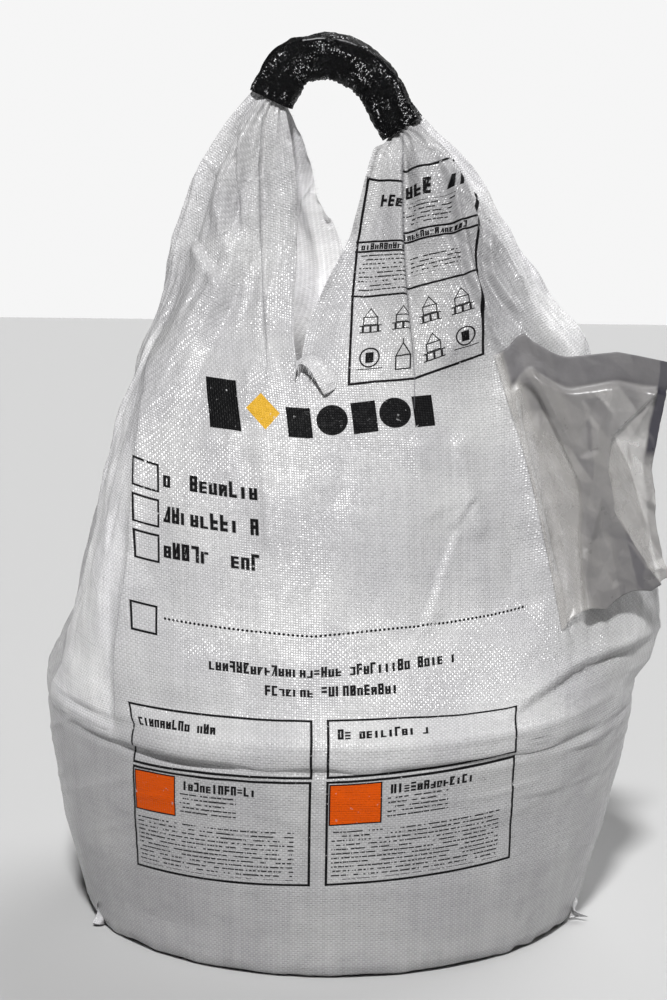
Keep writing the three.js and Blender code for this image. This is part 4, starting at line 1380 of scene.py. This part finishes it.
# painted shade: each facet of the film is painted lighter or darker by its slope, as if lit from one
# side
painted_facet_shade = sum(
    amount * (np.gradient(part, axis=1) + 0.6 * np.gradient(part, axis=0))
    for part, amount in ((small, 1.5), (smaller, 0.35))
)
painted_facet_shade = np.clip(painted_facet_shade, -0.16, 0.16) * (0.25 + 0.75 * below_band)
film_maps = {"layers": (np.clip(layers + painted_facet_shade, 0, 1), below_band)}
pouch = layered("document_pouch_film", film_front, film_back, film_maps)

grey_film, film_shader, base = new_finish("grey_film", Specular_IOR_Level=0.6)
film_layers_and_painted_shade, under_band = own_map(base, "layers")
place = own_place(base)
haze = place.noise(22, 4, 0.6)
THIN_FILM, THICK_FILM = (0.64, 0.62, 0.59, 1), (0.045, 0.043, 0.056, 1)
# its darkness holds the film's layers and the painted facet shade
film_colour = film_layers_and_painted_shade.between(THIN_FILM, THICK_FILM)
feed(film_shader, "Base Color", film_colour.dimmed(0.85 + 0.3 * haze))
feed(film_shader, "Alpha", 0.16 + 0.95 * film_layers_and_painted_shade + 0.16 * (haze - 0.5))
feed(film_shader, "Roughness", 0.20 + 0.20 * haze + 0.28 * (1 - under_band))
feed(film_shader, "Normal", place.noise(40, 3, 0.55).ridged().bumped(0.0009))
pouch.data.materials.append(grey_film)
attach(pouch, "root")
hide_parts("document_pouch")


# The torn tab. Where the front slit ends, a corner of the cloth has torn and curls
# forward over the foot of the slit.
def plain_maps(u_metres, v_metres):
    """Maps of a piece of the same cloth that no print reaches."""
    away = AWAY + 0 * u_metres
    maps = {name: (away, away) for name in cloth_maps}
    # 1.1 paints these pieces a tenth lighter than the cloth: painted light
    return {**maps, "cloth": (u_metres, v_metres), "folds": (away, 1.1 + 0 * u_metres)}


def on_bag(x_values, z_values):
    """y of the front of the bag at points x and z."""
    front_cloth = top_cloth[:, (turn < 0.12) | (turn > 0.88)].reshape(-1, 3)
    gap = (front_cloth[:, 0] - x_values.ravel()[:, None]) ** 2
    gap += (front_cloth[:, 2] - z_values.ravel()[:, None]) ** 2
    return front_cloth[np.argmin(gap, axis=1), 1].reshape(x_values.shape)


# its upper and lower edge from the tip: x, distance in front of the cloth, z
TAB_UPPER = np.array([
    (-0.046, 0.014, 0.981), (-0.026, 0.009, 0.990), (-0.010, 0.004, 0.989), (0.012, 0.001, 0.975),
    (0.024, -0.001, 0.957), (0.022, -0.001, 0.940),
])
TAB_LOWER = np.array([
    (-0.044, 0.018, 0.962), (-0.038, 0.021, 0.977), (-0.025, 0.023, 0.973), (-0.014, 0.020, 0.960),
    (-0.006, 0.013, 0.946), (0.003, 0.003, 0.930),
])
tab_edges = [
    spline_row(2 * edge[0] - edge[1], edge, 2 * edge[-1] - edge[-2], [9] * 5)
    for edge in (TAB_UPPER, TAB_LOWER)
]
down_share = np.linspace(0, 1, 22)[:, None]
tab_x, tab_forward, tab_z = np.moveaxis(
    tab_edges[0] * (1 - down_share[..., None]) + tab_edges[1] * down_share[..., None], -1, 0
)
tab_forward = tab_forward + 0.004 * np.sin(math.pi * down_share)
flat_fit = np.column_stack([np.ones(tab_x.size), tab_x.ravel(), tab_z.ravel()])
plane = np.linalg.lstsq(flat_fit, on_bag(tab_x, tab_z).ravel(), rcond=None)[0]
tab_y = (flat_fit @ plane).reshape(tab_x.shape) - tab_forward
tab_grid = np.stack([tab_x, tab_y, tab_z], axis=-1)[::-1]
tab_out = normals_of(tab_grid)
tab_along = np.broadcast_to(np.linspace(0, 0.095, tab_x.shape[1]), tab_x.shape)
tab_rise = np.broadcast_to(down_share[::-1] * 0.033, tab_x.shape)
tab_waves = soft_noise(tab_along * 90 + 11, tab_rise * 120 + 11, 11, 75)
tab_grid += tab_out * (0.0012 * tab_waves)[..., None]
torn_tab = layered("torn_tab", tab_grid, tab_grid - tab_out * 0.0006, plain_maps(tab_along, tab_rise))

# The ears: corners of the sewn bottom that stick out at the right and, less, at the left.
# Each is a fold of cloth, two layers with their edges turned in. The torn tab's material and parent are
# set after them.
EAR_STEPS = 24
EARS = [
    # angle round from the front, radius and height of the foot, the tip and the top
    ("seam_ear_right", 75.0, (0.430, 0.004), (0.4635, 0.010), (0.436, 0.043), 0.0022),
    ("seam_ear_left", -62.0, (0.428, 0.003), (0.4480, 0.006), (0.437, 0.050), 0.0030),
]
for name, degrees, foot, tip, top, half_thick in EARS:
    up_share, out_share = np.meshgrid(*[np.linspace(0, 1, EAR_STEPS)] * 2, indexing="ij")
    foot, tip, top = np.array(foot), np.array(tip), np.array(top)
    edge = foot + (top - foot) * up_share[..., None]
    bow = (1 - up_share) ** 0.8 * (0.72 + 0.28 * np.cos(up_share * 7))
    reach = (tip - foot) * bow[..., None]
    radius, ear_z = np.moveaxis(edge + reach * out_share[..., None], -1, 0)
    around = math.radians(degrees) + 0.012 * np.sin(up_share * 5 + out_share * 3)
    ear_y = -radius * np.cos(around)
    middle = np.stack([radius * np.sin(around), ear_y, np.maximum(ear_z, 0.001)], axis=-1)
    sideways = np.array([math.cos(math.radians(degrees)), math.sin(math.radians(degrees)), 0])
    thick = half_thick * np.sqrt(np.clip(1 - out_share ** 2, 0.02, 1))[..., None]
    maps = plain_maps(out_share * 0.05, up_share * 0.05)
    ear = layered(name, middle - sideways * thick, middle + sideways * thick, maps)
    ear.data.materials.append(cloth)
    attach(ear, "root")
    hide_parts("woven_bag")

torn_tab.data.materials.append(cloth)
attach(torn_tab, "root")
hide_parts("woven_bag")


# Loose tapes at the cut edges. The slits were cut, not hemmed, so that thin white
# tapes of the weave hang out of the edges, most at the lower part and at the tab.
def fray_tree(name, thread_material):
    """Geometry Nodes: short bent tapes along the edges of a mesh, in its outwards direction."""
    group = bpy.data.node_groups.new(name, "GeometryNodeTree")
    face = group.interface
    face.new_socket("Edges", in_out="INPUT", socket_type="NodeSocketGeometry")
    names = {}
    for label_text, kind, value in (
        ("Threads", "Int", 100), ("Shortest", "Float", 0.004), ("Longest", "Float", 0.012),
        ("Stray", "Float", 0.6), ("Seed", "Int", 1),
    ):
        socket = face.new_socket(label_text, in_out="INPUT", socket_type="NodeSocket" + kind)
        socket.default_value = value
        names[label_text] = socket.identifier
    face.new_socket("Tapes", in_out="OUTPUT", socket_type="NodeSocketGeometry")
    start = Socket(group)
    given = group.nodes.new("NodeGroupInput")

    def inlet(label_text):
        return Socket(group, given.outputs[label_text])

    curve = start.node("GeometryNodeMeshToCurve", {}, {"Mesh": inlet("Edges")})
    spots = start.node("GeometryNodeResampleCurve", {}, {"Curve": curve, "Count": inlet("Threads")})
    spots = start.node("GeometryNodeCurveToPoints", {"mode": "EVALUATED"}, {"Curve": spots})
    line = start.node("GeometryNodeCurvePrimitiveLine", {}, {"Start": (0, 0, 0), "End": (0, 0, 1)})
    line = start.node("GeometryNodeResampleCurve", {}, {"Curve": line, "Count": 6})
    bend = start.node("GeometryNodeSplineParameter", {}, {}) * 2.4
    bent = (bend.maths("SINE", bend) * 0.16).joined(0.0)
    line = start.node("GeometryNodeSetPosition", {}, {"Geometry": line, "Offset": bent})
    flat = start.node(
        "GeometryNodeCurvePrimitiveLine", {}, {"Start": (-0.045, 0, 0), "End": (0.045, 0, 0)}
    )
    tape = start.node("GeometryNodeCurveToMesh", {}, {"Curve": line, "Profile Curve": flat})
    stray = start.node(
        "FunctionNodeRandomValue", {"data_type": "FLOAT_VECTOR"},
        {0: (-1, -1, -1), 1: (1, 1, 1), "Seed": inlet("Seed")},
    )
    stray = start.node(
        "ShaderNodeVectorMath", {"operation": "SCALE"}, {0: stray, "Scale": inlet("Stray")}
    )
    outwards = start.node(
        "GeometryNodeInputNamedAttribute", {"data_type": "FLOAT_VECTOR"}, {"Name": "outwards"}
    )
    aim = start.node("ShaderNodeVectorMath", {"operation": "ADD"}, {0: outwards, 1: stray})
    turned = start.node("FunctionNodeAlignRotationToVector", {"axis": "Z"}, {"Vector": aim})
    spin = start.node(
        "FunctionNodeRandomValue", {"data_type": "FLOAT"}, {2: 0.0, 3: 6.283, "Seed": inlet("Seed")}, 1
    )
    spin = start.node("FunctionNodeAxisAngleToRotation", {}, {"Axis": (0, 0, 1), "Angle": spin})
    turned = start.node(
        "FunctionNodeRotateRotation", {"rotation_space": "LOCAL"},
        {"Rotation": turned, "Rotate By": spin},
    )
    long = start.node(
        "FunctionNodeRandomValue", {"data_type": "FLOAT"},
        {2: inlet("Shortest"), 3: inlet("Longest"), "Seed": inlet("Seed")}, 1,
    )
    tapes = start.node(
        "GeometryNodeInstanceOnPoints", {},
        {"Points": spots, "Instance": tape, "Rotation": turned, "Scale": long},
    )
    tapes = start.node("GeometryNodeRealizeInstances", {}, {"Geometry": tapes})
    tapes = start.node("GeometryNodeSetMaterial", {}, {"Geometry": tapes, "Material": thread_material})
    leave = group.nodes.new("NodeGroupOutput")
    group.links.new(tapes.socket, leave.inputs["Tapes"])
    return group, names


loose_tape, tape_shader, base = new_finish("loose_tape", Roughness=0.45)
TAPE_GREY, TAPE_WHITE = (0.50, 0.50, 0.51, 1), (0.78, 0.78, 0.79, 1)
feed(tape_shader, "Base Color", own_place(base).noise(300, 2).between(TAPE_GREY, TAPE_WHITE))
fray, fray_inputs = fray_tree("frayed_edge", loose_tape)

# The edges that fray: name, points, outwards direction, threads, longest one, seed
row_height = top_cloth[:, 0, 2]
torn_rows = (row_height > 1.000) & (row_height < 1.19)
left_rows = (row_height > 0.985) & (row_height < 1.33)
back_rows = (top_cloth[:, HALF, 2] > 1.14) & (top_cloth[:, HALF, 2] < 1.33)
EDGES = [
    ("fray_front_right", top_cloth[torn_rows, 0], (-0.8, -0.5, 0.1), 60, 0.006, 5),
    ("fray_front_left", top_cloth[left_rows, -1], (0.9, -0.3, 0.0), 40, 0.005, 6),
    ("fray_back_left", top_cloth[back_rows, HALF + 1], (0.9, 0.2, 0.1), 40, 0.006, 7),
    ("fray_tab", tab_grid[0, 4:30], (0.0, 0.3, -1.0), 40, 0.014, 8),
    ("fray_tab_side", tab_grid[:, 0], (-0.4, 0.2, -0.8), 16, 0.010, 9),
]
for name, points, outwards, threads, longest, seed in EDGES:
    mesh = bpy.data.meshes.new(name)
    mesh.from_pydata(points.tolist(), [(k, k + 1) for k in range(len(points) - 1)], [])
    direction = mesh.attributes.new("outwards", "FLOAT_VECTOR", "POINT")
    direction.data.foreach_set("vector", np.tile(outwards, len(points)))
    edge = linked(name, mesh)
    modifier = edge.modifiers.new("fray", "NODES")
    modifier.node_group = fray
    for input_name, value in (
        ("Threads", threads), ("Longest", longest), ("Shortest", 0.3 * longest), ("Stray", 0.6),
        ("Seed", seed),
    ):
        modifier[fray_inputs[input_name]] = value
    bpy.context.view_layer.update()
    made = edge.evaluated_get(bpy.context.evaluated_depsgraph_get())
    edge.data = bpy.data.meshes.new_from_object(made)
    edge.modifiers.clear()
    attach(edge, "root")
    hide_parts("woven_bag")

# The plaster: a dry, matt, off-white powder that heaps up inside the cloth. Its
# solid is right as it is and only gets a finish.
powder, powder_shader, base = new_finish("plaster_powder", Roughness=0.95)
place = own_place(base)
lumps = place.noise(14, 6, 0.6)
DULL_POWDER, PALE_POWDER = (0.66, 0.63, 0.57, 1), (0.78, 0.755, 0.70, 1)
feed(powder_shader, "Base Color", lumps.step(0.3, 0.7).between(DULL_POWDER, PALE_POWDER))
feed(powder_shader, "Normal", (lumps + 0.3 * place.noise(260, 3)).bumped(0.006))
for material_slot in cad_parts["plaster_fill"].material_slots:
    material_slot.material = powder
